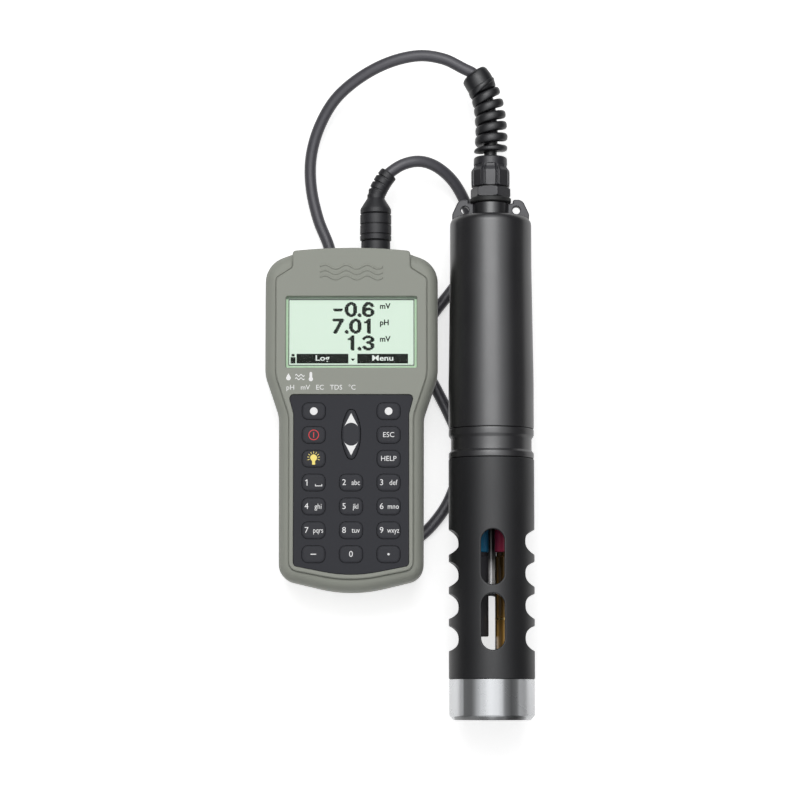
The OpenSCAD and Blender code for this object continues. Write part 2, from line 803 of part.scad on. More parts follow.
// Outline of one hanging lug, from the housing's shoulder outwards
lug_corners = [
  [9.2, 266, 0.3], [20.6, 266, 0.3], [20.9, 272.4, 4], [17.2, 280.4, 4],
  [12, 280.4, 1.2], [12, 278.4, 0.2], [9.2, 278.2, 0.3]];

// Half profile of the housing's outside as [radius, distance from the foot]
housing_profile = concat(
  [[0, seam], [housing_r - 0.5, seam], [housing_r, seam + 0.5], [housing_r, 181], [top_r, 244]],
  [for (a = [0:15:90]) [top_r - shoulder_r * (1 - cos(a)), housing_top - shoulder_r * (1 - sin(a))]],
  [[boss_r1, housing_top], [boss_r1, boss_end], [0, boss_end]]);

module housing() {
  color(moulding_black) at_probe() difference() {
    union() {
      rotate_extrude() polygon(housing_profile);
      for (side = [0, 1]) mirror([side, 0, 0]) rotate([90, 0, 0])
        translate([0, 0, -lug_t / 2]) linear_extrude(lug_t) polygon(rounded(lug_corners));
    }
    translate([0, 0, seam - cut]) cylinder(r = spigot_r, h = 14 + cut);
    translate([0, 0, seam]) cylinder(r = top_r - housing_wall, h = housing_top - 4 - seam);
    cylinder(r = 6.5, h = 290);
    for (side = [-1, 1]) translate([side * lug_hole_x, 10, lug_hole_y]) rotate([90, 0, 0])
      cylinder(r = lug_hole_d / 2, h = 20);
  }
}

o_ring_r = 0.9;
o_ring_path_r = spigot_r - 0.02 - o_ring_r;
module o_ring(at) {
  color(rubber_black) at_probe() translate([0, 0, at]) rotate_extrude()
    translate([o_ring_path_r, 0]) circle(r = o_ring_r, $fn = 24);
}
housing_ring_at = seam + 6;
shield_ring_at = shield_top - 5;
module housing_o_ring() { o_ring(housing_ring_at); }
module shield_o_ring() { o_ring(shield_ring_at); }

head_start = 127;
neck_r = 21.7;
flange_r = probe_r - 0.1;
// Half profile of the sensor head
head_profile = [
  [0, head_start], [spigot_r - 1, head_start], [spigot_r - slack, head_start + 1], [spigot_r - slack, shield_top],
  [flange_r, shield_top + 0.05], [flange_r, 142.3], [neck_r, 143.9], [neck_r, 150.1], [flange_r, 152.2],
  [flange_r, seam - 0.5], [flange_r - 0.5, seam - slack], [spigot_r - slack, seam - slack],
  [spigot_r - slack, seam + 12.5], [0, seam + 12.5]];

module ring_groove(at) {
  translate([0, 0, at - o_ring_r - 0.1]) difference() {
    cylinder(r = spigot_r + cut, h = 2 * o_ring_r + 0.2);
    translate([0, 0, -cut]) cylinder(r = o_ring_path_r - o_ring_r - 0.02, h = 6);
  }
}

stem_r = 5;
temp_r = 2.8;
temp_back = 11;
stem_end = 133;
module head_bore(x, y, r) {
  translate([x, y, head_start - cut]) cylinder(r = r, h = stem_end - head_start + cut);
}

module sensor_head() {
  color(moulding_black) at_probe() difference() {
    rotate_extrude() polygon(head_profile);
    ring_groove(housing_ring_at);
    ring_groove(shield_ring_at);
    for (side = [-1, 1]) {
      head_bore(side * sensor_offset, 0, stem_r + slack);
      translate([side * sensor_offset, 0, stem_end - cut]) cylinder(r = 4.2, h = 40);
    }
    head_bore(0, temp_back, temp_r + slack);
    translate([0, temp_back, stem_end - cut]) cylinder(r = 2.2, h = 40);
  }
}

module sensor_sockets() {
  color([0.75, 0.65, 0.35]) at_probe() {
    for (side = [-1, 1]) translate([side * sensor_offset, 0, stem_end + slack]) cylinder(r = 4.15, h = 32);
    translate([0, temp_back, stem_end + slack]) cylinder(r = 2.1, h = 32);
  }
}

module probe_board() {
  color([0.1, 0.35, 0.2]) at_probe() {
    translate([-15, -0.8, 172]) cube([30, 1.6, 84]);
    for (at = [182, 204, 226]) translate([-6, -3, at]) cube([12, 2.25, 12]);
  }
}

collar_bottom = 89.3;
groove_h = 2;
ec_end = 44.4;
ph_end = 33;
sensor_r = sensor_d / 2;

// Sensor with a stem, a groove and a body, open or closed below
module sensor_solid(tip) {
  translate([0, 0, tip]) cylinder(r = sensor_r, h = collar_bottom - groove_h - tip);
  translate([0, 0, collar_bottom - groove_h - cut]) cylinder(r = sensor_r - 0.8, h = groove_h + cut);
  translate([0, 0, collar_bottom - cut]) cylinder(r = stem_r, h = stem_end - collar_bottom + cut);
}

module ec_sensor() {
  color([0.22, 0.22, 0.24]) at_probe() translate([-sensor_offset, 0, 0]) difference() {
    sensor_solid(ec_end);
    translate([0, 0, ec_end - cut]) cylinder(r = 3.2, h = 22);
    translate([0, 0, 62]) rotate([90, 0, 0]) translate([0, 0, -20]) cylinder(r = 1.6, h = 40);
  }
}

module ph_sensor() {
  color([0.62, 0.48, 0.2]) at_probe() translate([sensor_offset, 0, 0]) {
    sensor_solid(ph_end);
    translate([0, 0, ph_end - 2.4]) cylinder(r = 3.9, h = 3);
    translate([0, 0, ph_end - 3.4]) sphere(r = 4.2);
  }
}

module sensor_collar(x, tint) {
  color(tint) at_probe() translate([x, 0, collar_bottom + slack]) difference() {
    cylinder(r = sensor_r + 0.1, h = head_start - collar_bottom - 0.2);
    translate([0, 0, -cut]) cylinder(r = stem_r + slack, h = 60);
  }
}
module ec_collar() { sensor_collar(-sensor_offset, [0.1, 0.45, 0.6]); }
module ph_collar() { sensor_collar(sensor_offset, [0.6, 0.15, 0.25]); }

module temperature_sensor() {
  tip = 70.3;
  color(steel) at_probe() translate([0, temp_back, 0]) {
    translate([0, 0, tip + temp_r]) cylinder(r = temp_r, h = stem_end - tip - temp_r);
    translate([0, 0, tip + temp_r]) sphere(r = temp_r);
  }
}

// Slot with round ends, cut along Y through the shield
module slot(z0, z1) {
  r = slot_w / 2;
  for (z = [z0 + r, z1 - r]) translate([0, 40, z]) rotate([90, 0, 0]) cylinder(r = r, h = 80);
  translate([-r, -40, z0 + r]) cube([slot_w, 80, z1 - z0 - slot_w]);
}

// Window with round ends, cut along X through the shield
module side_window(z) {
  r = window_side_h / 2;
  reach = 15.5 - r;
  for (y = [-reach, reach]) translate([-40, y, z]) rotate([0, 90, 0]) cylinder(r = r, h = 80);
  translate([-40, -reach, z - r]) cube([80, 2 * reach, window_side_h]);
}

shield_bore_r = 20.4;
window_pitch = 17.15;
first_window = 43.3;
module shield() {
  color(moulding_black) at_probe() difference() {
    translate([0, 0, ring_l + slack]) cylinder(r = probe_r, h = shield_top - ring_l - 2 * slack);
    translate([0, 0, ring_l - cut]) cylinder(r = shield_bore_r, h = 140);
    slot(71.4, 100.8);
    slot(37, 66.8);
    for (k = [0:3]) side_window(first_window + k * window_pitch);
  }
}

ring_r = probe_r - 0.15;
ring_bore_r = 18.4;
ring_profile = [
  [ring_bore_r + 0.8, 0], [ring_r - 2.4, 0], [ring_r - 0.5, 1.8], [ring_r, 3], [ring_r, ring_l - 0.4], [ring_r - 0.4, ring_l],
  [shield_bore_r - slack, ring_l], [shield_bore_r - slack, ring_l + 8], [ring_bore_r, ring_l + 8], [ring_bore_r, 0.8]];
module foot_ring() {
  color(steel) at_probe() rotate_extrude() polygon(ring_profile);
}

front_case();
rear_case();
case_gasket();
case_screws();
display_window();
display_module();
keypad_panel();
key_soft_left();
key_soft_right();
key_power();
key_escape();
key_lamp();
key_help();
key_1();
key_2();
key_3();
key_4();
key_5();
key_6();
key_7();
key_8();
key_9();
key_minus();
key_0();
key_point();
key_rocker();
dome_switches();
main_board();
battery_cover();
battery_gasket();
battery_cover_screws();
batteries();
battery_contacts();
probe_socket();
usb_socket();
usb_cap();
plug_body();
plug_collar();
plug_pins();
cable();
bend_guard();
gland_nut();
gland_seal();
gland_body();
gland_washer();
housing();
housing_o_ring();
sensor_head();
shield_o_ring();
probe_board();
sensor_sockets();
ec_sensor();
ec_collar();
ph_sensor();
ph_collar();
temperature_sensor();
shield();
foot_ring();
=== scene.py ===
"""Looks of the water quality instrument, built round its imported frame. Lengths are in millimetres
until a piece is made, and in metres from there on."""

from math import asin, atan2, copysign, cos, degrees, pi, radians, sin

import bmesh
import bpy
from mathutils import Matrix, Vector


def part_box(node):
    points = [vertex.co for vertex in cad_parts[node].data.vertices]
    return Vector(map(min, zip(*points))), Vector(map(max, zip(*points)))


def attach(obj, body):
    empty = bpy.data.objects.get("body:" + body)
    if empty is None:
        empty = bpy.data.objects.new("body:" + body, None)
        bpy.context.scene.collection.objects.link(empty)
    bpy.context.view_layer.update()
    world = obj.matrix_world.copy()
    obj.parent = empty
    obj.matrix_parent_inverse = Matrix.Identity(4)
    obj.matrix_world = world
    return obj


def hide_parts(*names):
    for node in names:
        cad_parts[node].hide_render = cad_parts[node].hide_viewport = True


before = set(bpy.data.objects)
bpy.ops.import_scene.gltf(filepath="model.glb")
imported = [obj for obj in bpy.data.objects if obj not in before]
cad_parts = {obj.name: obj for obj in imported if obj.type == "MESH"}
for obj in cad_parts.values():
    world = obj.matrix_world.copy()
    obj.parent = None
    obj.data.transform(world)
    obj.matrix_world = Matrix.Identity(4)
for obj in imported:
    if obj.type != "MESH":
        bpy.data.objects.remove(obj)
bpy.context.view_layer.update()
MM = 0.001
ROOT = "instrument"
scene = bpy.context.scene


# ---- Places, taken from the frame ----


def box_mm(node):
    low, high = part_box(node)
    return low / MM, high / MM


lens_low, lens_high = box_mm("display_window")
ring_low, ring_high = box_mm("foot_ring")
WINDOW_Y = 46.95
METER_X = (lens_low.x + lens_high.x) / 2
METER_Y = (lens_low.y + lens_high.y) / 2 - WINDOW_Y
FOOT_Y = ring_low.y
PROBE_X = (ring_low.x + ring_high.x) / 2
PROBE_Z = (ring_low.z + ring_high.z) / 2
BACK_Z = box_mm("rear_case")[0].z
FACE_Z = box_mm("front_case")[1].z
SPLIT_Z = box_mm("rear_case")[1].z
RIM_Z = FACE_Z - 2
CEILING_Z = FACE_Z - 4.2
FLOOR_Z = BACK_Z + 4.2
WALL = 2.6


def at_meter(p):
    return Vector((p[0] + METER_X, p[1] + METER_Y, p[2]))


def on_meter(x, y):
    """Place for a solid drawn round its own middle, which comes to (x, y) on the meter."""
    return lambda p: at_meter((p[0] + x, p[1] + y, p[2]))


def at_probe(p):
    return Vector((PROBE_X + p[0], FOOT_Y + p[2], PROBE_Z - p[1]))


def beside(x, y=0):
    """Place for a sensor whose axis is off the probe's."""
    return lambda p: at_probe((p[0] + x, p[1] + y, p[2]))


def at_connector(x, z):
    return lambda p: Vector((x + p[0] + METER_X, p[2] + METER_Y, z - p[1]))


PLUG_X, PLUG_Z = 12.9, SPLIT_Z
at_plug = at_connector(PLUG_X, PLUG_Z)
at_port = at_connector(-13, BACK_Z + 11.5)
at_window = on_meter(0, WINDOW_Y)

# ---- Outlines ----


def left_normal(a, b):
    d = Vector((b[0] - a[0], b[1] - a[1])).normalized()
    return Vector((-d.y, d.x))


def rounded(corners, steps):
    """Outline through corners given as (x, y, corner radius)."""
    points = []
    for i, v in enumerate(corners):
        a, b = corners[i - 1], corners[(i + 1) % len(corners)]
        n1, n2 = left_normal(a, v), left_normal(v, b)
        turn = atan2(n1.x * n2.y - n1.y * n2.x, n1.dot(n2))
        way = 1 if turn > 0 else -1
        centre = Vector(v[:2]) + (n1 + n2) * (way * v[2] / (1 + n1.dot(n2)))
        start = n1 * (-way * v[2])
        for k in range(steps + 1):
            t = turn * k / steps
            c, s = cos(t), sin(t)
            points.append((centre.x + start.x * c - start.y * s, centre.y + start.x * s + start.y * c))
    return points


def inset(corners, d):
    """The same corners moved inwards by d."""
    out = []
    for i, v in enumerate(corners):
        n1, n2 = left_normal(corners[i - 1], v), left_normal(v, corners[(i + 1) % len(corners)])
        moved = Vector(v[:2]) + (n1 + n2) * (d / (1 + n1.dot(n2)))
        convex = n1.x * n2.y - n1.y * n2.x > 0
        out.append((moved.x, moved.y, max(v[2] - d, 0.3) if convex else v[2] + d))
    return out


def both_sides(half):
    return half + [(-x, y, r) for x, y, r in reversed(half) if x > 0]


def rectangle(w, h, r):
    return [(-w / 2, -h / 2, r), (w / 2, -h / 2, r), (w / 2, h / 2, r), (-w / 2, h / 2, r)]


def box(x0, y0, x1, y1):
    return [(x0, y0), (x1, y0), (x1, y1), (x0, y1)]


def signed_power(v, power):
    return copysign(abs(v) ** power, v)


def arc(cx, cy, r, a0, a1, steps, ry=None):
    """Points of an arc, or of an oval one that is ry tall; angles in degrees."""
    angles = [radians(a0 + (a1 - a0) * k / steps) for k in range(steps + 1)]
    return [(cx + r * cos(a), cy + (ry or r) * sin(a)) for a in angles]


def shoulder(width, height, z, way=1, steps=8):
    """Levels of a quarter-round edge that ends at height z."""
    angles = [radians(90 * k / steps) for k in range(steps + 1)]
    return [(width * (1 - cos(a)), z - way * height * (1 - sin(a))) for a in angles]


def round_tip(r, z, end):
    """Profile of a ball round (0, z), from its lower pole up to an angle in degrees."""
    angles = [radians(a) for a in range(0, end + 1, 10)]
    return [(r * sin(a), z - r * cos(a)) for a in angles]


RIM = both_sides([(0, -94.1, 75), (38.8, -84.8, 9.5), (39, 2.2, 20), (46.5, 24.5, 20), (46.5, 84.9, 14.2),
    (28.6, 91.5, 4)])
FACE = both_sides([(0, -86.9, 75), (33.1, -80.3, 5), (33.2, 2, 20), (40.4, 23.6, 20), (40.4, 76.2, 3),
    (31.6, 81.8, 2), (31.6, 90.9, 1.8), (0, 94, 300)])
PANEL = both_sides([(0, -84.5, 75), (30.8, -78.4, 2.2), (30.8, 2.8, 6), (33.6, 13.2, 2.2)])


# ---- Solids: a pair (points, faces) ----


def skin(rings, loop=False):
    """Closed skin over rings of points; with loop the last ring joins the first."""
    n, m = len(rings[0]), len(rings)
    points = [p for ring in rings for p in ring]
    faces = []
    for k in range(m if loop else m - 1):
        for i in range(n):
            a, b = k * n + i, k * n + (i + 1) % n
            c, d = (k + 1) % m * n + (i + 1) % n, (k + 1) % m * n + i
            faces.append((a, b, c, d))
    if not loop:
        faces.append(tuple(reversed(range(n))))
        faces.append(tuple((m - 1) * n + i for i in range(n)))
    return points, faces


def stack(levels):
    """Rings from flat outlines; levels are (outline, z)."""
    return [[(x, y, z) for x, y in outline] for outline, z in levels]


def loft(corners, levels, steps=8):
    """Insets of one outline, one above the other; levels are (inset, z)."""
    return skin(stack([(rounded(inset(corners, d), steps), z) for d, z in levels]))


def slab(outline, z0, z1):
    return skin(stack([(outline, z0), (outline, z1)]))


def round_slab(w, h, r, z0, z1, steps):
    return slab(rounded(rectangle(w, h, r), steps), z0, z1)


def whole_turn(n):
    return [2 * pi * i / n for i in range(n)]


def turned(profile, sides=96, loop=True, shape=lambda r, z, a: r, x=0, y=0):
    """Body of revolution about Z; shape(r, z, angle) may change the radius round the turn."""
    rings = []
    for r, z in profile:
        reach = [(shape(r, z, a), a) for a in whole_turn(sides)]
        rings.append([(x + q * cos(a), y + q * sin(a), z) for q, a in reach])
    return skin(rings, loop)


def cylinder(r, z0, z1, x=0, y=0, sides=48):
    return turned([(r, z0), (r, z1)], sides, False, x=x, y=y)


def together(solids):
    points, faces = [], []
    for p, f in solids:
        base = len(points)
        points += p
        faces += [tuple(i + base for i in face) for face in f]
    return points, faces


# ---- Paths ----


def spline(p, steps):
    """Catmull-Rom path through the given points."""
    p = [Vector(q) for q in p]
    out = []
    for i in range(len(p) - 1):
        a, b, c, d = p[max(i - 1, 0)], p[i], p[i + 1], p[min(i + 2, len(p) - 1)]
        for k in range(steps):
            t = k / steps
            out.append(0.5 * (2 * b + (c - a) * t + (2 * a - 5 * b + 4 * c - d) * t * t
                + (3 * b - a - 3 * c + d) * t ** 3))
    return out + [p[-1]]


def frames(path):
    """Heading, side and up at each station of a path."""
    out = []
    for k in range(len(path)):
        t = (path[min(k + 1, len(path) - 1)] - path[max(k - 1, 0)]).normalized()
        side = Vector((0, 0, 1)).cross(t).normalized()
        out.append((t, side, t.cross(side)))
    return out


def sweep(path, radii, sides):
    rings = []
    for p, r, (_, side, up) in zip(path, radii, frames(path)):
        rings.append([p + side * (r * cos(a)) + up * (r * sin(a)) for a in whole_turn(sides)])
    return skin(rings)


def measured(path):
    """Two results: what gives the point and the frame at a distance along a path, and the path's length."""
    path_frames, at = frames(path), [0.0]
    for a, b in zip(path, path[1:]):
        at.append(at[-1] + (b - a).length)

    def along(s):
        k = max(i for i in range(len(at) - 1) if at[i] <= s or i == 0)
        t = (s - at[k]) / (at[k + 1] - at[k])
        mixed = [a.lerp(b, t).normalized() for a, b in zip(path_frames[k], path_frames[k + 1])]
        return path[k].lerp(path[k + 1], t), mixed

    return along, at[-1]


# ---- Pieces ----


def set_all(target, **settings):
    for name, value in settings.items():
        setattr(target, name, value)


def shown(name, data):
    """Puts a mesh, curve, lamp or camera into the scene."""
    obj = bpy.data.objects.new(name, data)
    scene.collection.objects.link(obj)
    return obj


def new_object(name, solid, place):
    mesh = bpy.data.meshes.new(name)
    mesh.from_pydata([place(p) * MM for p in solid[0]], [], solid[1])
    bm = bmesh.new()
    bm.from_mesh(mesh)
    bmesh.ops.remove_doubles(bm, verts=bm.verts, dist=1e-7)
    bmesh.ops.dissolve_degenerate(bm, dist=1e-7, edges=bm.edges)
    bmesh.ops.recalc_face_normals(bm, faces=bm.faces)
    bm.to_mesh(mesh)
    bm.free()
    return shown(name, mesh)


def mesh_of(obj):
    """Mesh of an object as its modifiers or its curve make it."""
    bpy.context.view_layer.update()
    return bpy.data.meshes.new_from_object(obj.evaluated_get(bpy.context.evaluated_depsgraph_get()))


def carve(obj, solid, place=at_meter, operation="DIFFERENCE"):
    """Cuts a solid out of the object, or joins one to it."""
    tool = new_object("tool", solid, place)
    set_all(obj.modifiers.new("carve", "BOOLEAN"), operation=operation, solver="EXACT", object=tool)
    mesh = mesh_of(obj)
    obj.modifiers.clear()
    obj.data = mesh
    mesh.name = obj.name
    bpy.data.objects.remove(tool)


def dress(obj, material, slot, nodes=(), angle=32, weighted=True, body=ROOT):
    """Shades a finished mesh, gives it its finish and its body, and hides the CAD nodes it stands for."""
    obj.data.materials.clear()
    obj.data.materials.append(material)
    obj.data.shade_smooth()
    obj.data.set_sharp_from_angle(angle=radians(angle))
    if weighted:
        set_all(obj.modifiers.new("normals", "WEIGHTED_NORMAL"), keep_sharp=True, weight=80)
    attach(obj, body)
    if nodes:
        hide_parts(*nodes)


def piece(name, solid, place, *look, **more):
    """Makes an object and dresses it; the rest of the arguments are those of dress."""
    dress(new_object(name, solid, place), *look, **more)


# ---- Finishes ----


def fill(tree, target, inputs):
    """Sets a node's inputs: an output is linked, anything else becomes the value."""
    for name, value in inputs.items():
        if isinstance(value, bpy.types.NodeSocket):
            tree.links.new(value, target.inputs[name])
        else:
            target.inputs[name].default_value = value


def add(tree, kind, inputs=(), out=0, **settings):
    """New node with its settings and inputs; gives one of its outputs."""
    made = tree.nodes.new("ShaderNode" + kind)
    set_all(made, **settings)
    fill(tree, made, dict(inputs))
    return made.outputs[out]


def ramp(tree, place, levels):
    """Colour ramp; levels are (place from 0 to 1, colour)."""
    made = tree.nodes.new("ShaderNodeValToRGB")
    elements = made.color_ramp.elements
    while len(elements) < len(levels):
        elements.new(0.5)
    for element, (at, colour) in zip(elements, levels):
        element.position = at
        element.color = (*colour, 1)
    tree.links.new(place, made.inputs["Fac"])
    return made.outputs["Color"]


def new_material(name):
    mat = bpy.data.materials.new(name)
    mat.use_nodes = True
    return mat, mat.node_tree


def finish(name, colour, roughness, grain=0.4, bump=0.15, specular=0.5, mottle=0.06, metallic=0.0, coat=0.0,
        glow=0.0, turning=0.0, ior=1.5):
    """Procedural finish: fine grain or turning marks in the bump, slow change in colour and roughness.
    Grain and turning are sizes in mm."""
    mat, tree = new_material(name)
    where = add(tree, "TexCoord", out="Object")
    slow = add(tree, "TexNoise", {"Vector": where, "Scale": 45, "Detail": 5})
    dark = [c * (1 - mottle) for c in colour]
    light = [min(c * (1 + mottle), 1) for c in colour]
    tint = add(tree, "Mix", {"Factor": slow, "A": (*dark, 1), "B": (*light, 1)}, "Result", data_type="RGBA")
    rough = add(tree, "MapRange", {"Value": slow, "To Min": max(roughness - 0.07, 0.02),
        "To Max": min(roughness + 0.07, 1)})
    if turning:
        height = add(tree, "TexWave", {"Vector": where, "Scale": 1 / (turning * MM) / 3.18,
            "Distortion": 0.4, "Detail Scale": 0.4}, "Fac", bands_direction="Y")
    else:
        height = add(tree, "TexNoise", {"Vector": where, "Scale": 1 / (grain * MM), "Detail": 3})
    relief = add(tree, "Bump", {"Height": height, "Strength": bump, "Distance": 0.0001})
    surface = {"Base Color": tint, "Roughness": rough, "Normal": relief, "Metallic": metallic, "IOR": ior,
        "Specular IOR Level": specular, "Coat Weight": coat, "Coat Roughness": 0.15}
    if glow:
        surface |= {"Emission Color": tint, "Emission Strength": glow}
    fill(tree, tree.nodes["Principled BSDF"], surface)
    return mat


def clear_lens():
    """Clear plastic that lets the light through and mirrors a little at a slant."""
    mat, tree = new_material("clear_lens")
    tree.nodes.remove(tree.nodes["Principled BSDF"])
    haze = add(tree, "TexNoise", {"Scale": 900})
    relief = add(tree, "Bump", {"Height": haze, "Strength": 0.02})
    front = add(tree, "Math", {0: 1, 1: add(tree, "NewGeometry", out="Backfacing")}, operation="SUBTRACT")
    share = add(tree, "Math", {0: add(tree, "Fresnel", {"IOR": 1.14}), 1: front}, operation="MULTIPLY")
    through = add(tree, "BsdfTransparent", {"Color": (0.97, 0.99, 0.975, 1)})
    mirror = add(tree, "BsdfGlossy", {"Roughness": 0.06, "Normal": relief})
    mix = add(tree, "MixShader", {0: share, 1: through, 2: mirror})
    fill(tree, tree.nodes["Material Output"], {"Surface": mix})
    return mat


def paint_light_bands(mat, levels, source="Normal", axis="X", low=-1.0, high=1.0):
    """Painted light: light and dark bands multiplied into the colour, by the tilt of the surface (painted
    reflections and highlights) or by its place from low to high (painted shade); levels are (at, share of the
    colour), with at from -1 to 1."""
    tree = mat.node_tree
    shader = tree.nodes["Principled BSDF"]
    where = add(tree, "SeparateXYZ", {0: add(tree, "TexCoord", out=source)}, axis)
    place = add(tree, "MapRange", {"Value": where, "From Min": low, "From Max": high})
    painted_bands = ramp(tree, place, [((at + 1) / 2, (level, level, level)) for at, level in levels])
    plain = shader.inputs["Base Color"].links[0].from_socket
    shaded = add(tree, "Mix", {"Factor": 1, "A": plain, "B": painted_bands}, "Result", data_type="RGBA",
        blend_type="MULTIPLY")
    fill(tree, shader, {"Base Color": shaded})
    return mat


# Columns: name, colour, roughness, grain, bump, specular, mottle
case_finish = finish("case_finish", (0.4, 0.415, 0.365), 0.52, 0.35, 0.25, 0.22, 0.03)
panel_finish = finish("panel_finish", (0.052, 0.053, 0.061), 0.62, 0.3, 0.25, 0.12)
key_finish = finish("key_finish", (0.052, 0.053, 0.061), 0.55, 0.3, 0.2, 0.14)
plug_finish = finish("plug_finish", (0.022, 0.022, 0.025), 0.45, 0.35, 0.3, 0.42)
cable_finish = finish("cable_finish", (0.075, 0.073, 0.085), 0.42, 0.6, 0.2, 0.6)
guard_finish = finish("guard_finish", (0.014, 0.014, 0.016), 0.38, 0.4, 0.2, 0.6)
gland_finish = finish("gland_finish", (0.024, 0.0235, 0.028), 0.38, 0.3, 0.25, 0.6)
housing_finish = finish("housing_finish", (0.01, 0.0095, 0.0115), 0.34, 0.3, 0.1, 1.0, ior=1.52)
shield_finish = finish("shield_finish", (0.011, 0.011, 0.0125), 0.44, 0.3, 0.3)
lug_finish = finish("lug_finish", (0.05, 0.049, 0.056), 0.45, 0.3, 0.3, 0.6)
seal_finish = finish("seal_finish", (0.012, 0.012, 0.012), 0.6, 0.4, 0.2)
# Steel colour with painted reflections: bright and dark bands by the tilt of the surface stand in for strip lights
# mirrored in the ring.
steel_and_painted_reflections = paint_light_bands(
    finish("steel_and_painted_reflections", (0.95, 0.965, 0.985), 0.27, bump=0.03, mottle=0.02, metallic=0.6, turning=0.35),
    [(-1, 0.85), (-0.8, 1), (-0.7, 1), (-0.665, 0.36), (-0.5, 0.3), (-0.44, 0.42), (-0.38, 0.56), (-0.28, 0.62),
     (-0.18, 0.46), (0.06, 0.4), (0.2, 0.5), (0.26, 0.26), (0.3, 0.2), (0.42, 0.16), (0.5, 0.3), (0.55, 0.45),
     (0.61, 1), (0.8, 1), (1, 0.85)])
bright_finish = finish("bright_finish", (0.7, 0.71, 0.73), 0.25, bump=0.1, mottle=0.03, metallic=1)
gold_finish = finish("gold_finish", (0.86, 0.62, 0.25), 0.25, bump=0.05, mottle=0.03, metallic=1)
board_finish = finish("board_finish", (0.02, 0.13, 0.06), 0.4, 1.2, 0.2)
cell_finish = finish("cell_finish", (0.05, 0.09, 0.2), 0.3, 0.8, 0.05, coat=0.5)
blue_finish = finish("blue_finish", (0.015, 0.22, 0.42), 0.35, 0.3, 0.1, coat=0.3)
red_finish = finish("red_finish", (0.36, 0.025, 0.07), 0.35, 0.3, 0.1, coat=0.3)
ec_finish = finish("ec_finish", (0.05, 0.05, 0.058), 0.45, 0.3, 0.2)
# Amber sensor colour with painted highlights: bright gold bands by the tilt of the surface.
amber_with_painted_light = paint_light_bands(
    finish("amber_with_painted_light", (0.9, 0.5, 0.12), 0.16, 0.5, 0.06, 0.7, 0.12, coat=0.5),
    [(-1, 0.2), (-0.9, 0.2), (-0.82, 0.75), (-0.74, 0.3), (-0.6, 0.22), (-0.48, 0.35), (-0.4, 1), (-0.3, 0.95),
     (-0.22, 0.35), (0, 0.25), (1, 0.25)])
# Painted shade: the amber darkens towards the top of the tube, inside the guard.
paint_light_bands(amber_with_painted_light, [(-1, 1), (-0.6, 0.75), (-0.3, 0.42), (0.2, 0.3), (0.7, 0.12), (1, 0.1)], "Object", "Y",
    (FOOT_Y + 40) * MM, (FOOT_Y + 86) * MM)
glass_finish = finish("glass_finish", (0.62, 0.6, 0.5), 0.08, 0.5, 0.02, coat=1.0)
screen_finish = finish("screen_finish", (0.74, 0.845, 0.75), 0.4, 0.5, 0.02, mottle=0.02, glow=0.26)
border_finish = finish("border_finish", (0.46, 0.62, 0.44), 0.4, 0.5, 0.02, mottle=0.12, glow=0.25)
ink_black = finish("ink_black", (0.008, 0.01, 0.008), 0.5, 0.5, 0.02, 0.1)
# Print colours that also glow: painted light that keeps the print bright under any lighting.
ink_white_and_painted_glow = finish("ink_white_and_painted_glow", (0.88, 0.88, 0.88), 0.5, 0.3, 0.1, mottle=0.02, glow=0.22)
ink_red_and_painted_glow = finish("ink_red_and_painted_glow", (0.72, 0.03, 0.04), 0.5, 0.3, 0.1, mottle=0.03, glow=0.25)
ink_yellow_and_painted_glow = finish("ink_yellow_and_painted_glow", (0.95, 0.78, 0.2), 0.5, 0.3, 0.1, mottle=0.03, glow=0.25)
# Colour of the painted shadow under the display window's upper edge.
painted_shadow_finish = finish("painted_shadow_finish", (0.3, 0.36, 0.29), 0.5, 0.5, 0.02, mottle=0.1)
# Painted shade: the pale steel rod darkens to black towards its top, where the guard shades it.
rod_steel_and_painted_shade = paint_light_bands(
    finish("rod_steel_and_painted_shade", (0.97, 0.96, 0.96), 0.3, bump=0.06, mottle=0.03, metallic=0.2),
    [(-1, 1), (-0.35, 0.95), (0, 0.6), (0.4, 0.14), (1, 0.01)],
    "Object", "Y", (FOOT_Y + 74) * MM, (FOOT_Y + 92) * MM)
lens_finish = clear_lens()

# ---- Meter case ----

SCREWS = [(s * x, y) for s in (-1, 1) for x, y in ((39.2, 68), (32.2, 0), (25, -81.2))]
SOCKET_HOLE = cylinder(10.05, 87.9, 96, sides=64)


def front_shell():
    rim = loft(RIM, [(0.35, SPLIT_Z), (0, SPLIT_Z + 0.35)] + shoulder(6.1, 9, RIM_Z, steps=12), 10)
    shell = new_object("front_shell", rim, at_meter)
    carve(shell, loft(FACE, [(-0.55, RIM_Z - 1), (-0.55, FACE_Z + 1)], 10))
    carve(shell, loft(FACE, [(0, SPLIT_Z + 6)] + shoulder(0.8, 0.8, FACE_Z, steps=5), 10), operation="UNION")
    carve(shell, loft(inset(RIM, WALL), [(0, SPLIT_Z - 1), (0, CEILING_Z)], 4))
    for x, y in SCREWS:
        carve(shell, cylinder(3, SPLIT_Z, CEILING_Z + 0.5, x, y, 24), operation="UNION")
        carve(shell, cylinder(1.25, SPLIT_Z - 1, SPLIT_Z + 9.5, x, y, 16))
    edge = 0.5
    mouth = [(0, 38.75), (0, FACE_Z - edge)]
    for a in (radians(22.5 * k) for k in range(1, 5)):
        mouth.append((-edge * (1 - cos(a)), FACE_Z - edge + edge * sin(a)))
    carve(shell, loft(rectangle(70.4, 38.7, 1), mouth + [(-edge, FACE_Z + 1)], 6), at_window)
    carve(shell, round_slab(67.6, 35.9, 0.6, CEILING_Z - 1, FACE_Z, 4), at_window)
    keypad = [(-0.15, 39.35), (-0.15, FACE_Z - 0.4), (-0.25, FACE_Z - 0.12), (-0.55, FACE_Z),
        (-0.55, FACE_Z + 1)]
    carve(shell, loft(PANEL, keypad))
    carve(shell, loft(PANEL, [(2, CEILING_Z - 1), (2, FACE_Z)]))
    carve(shell, SOCKET_HOLE, at_plug)
    dress(shell, case_finish, "case_plastic", ["front_case"], 28)


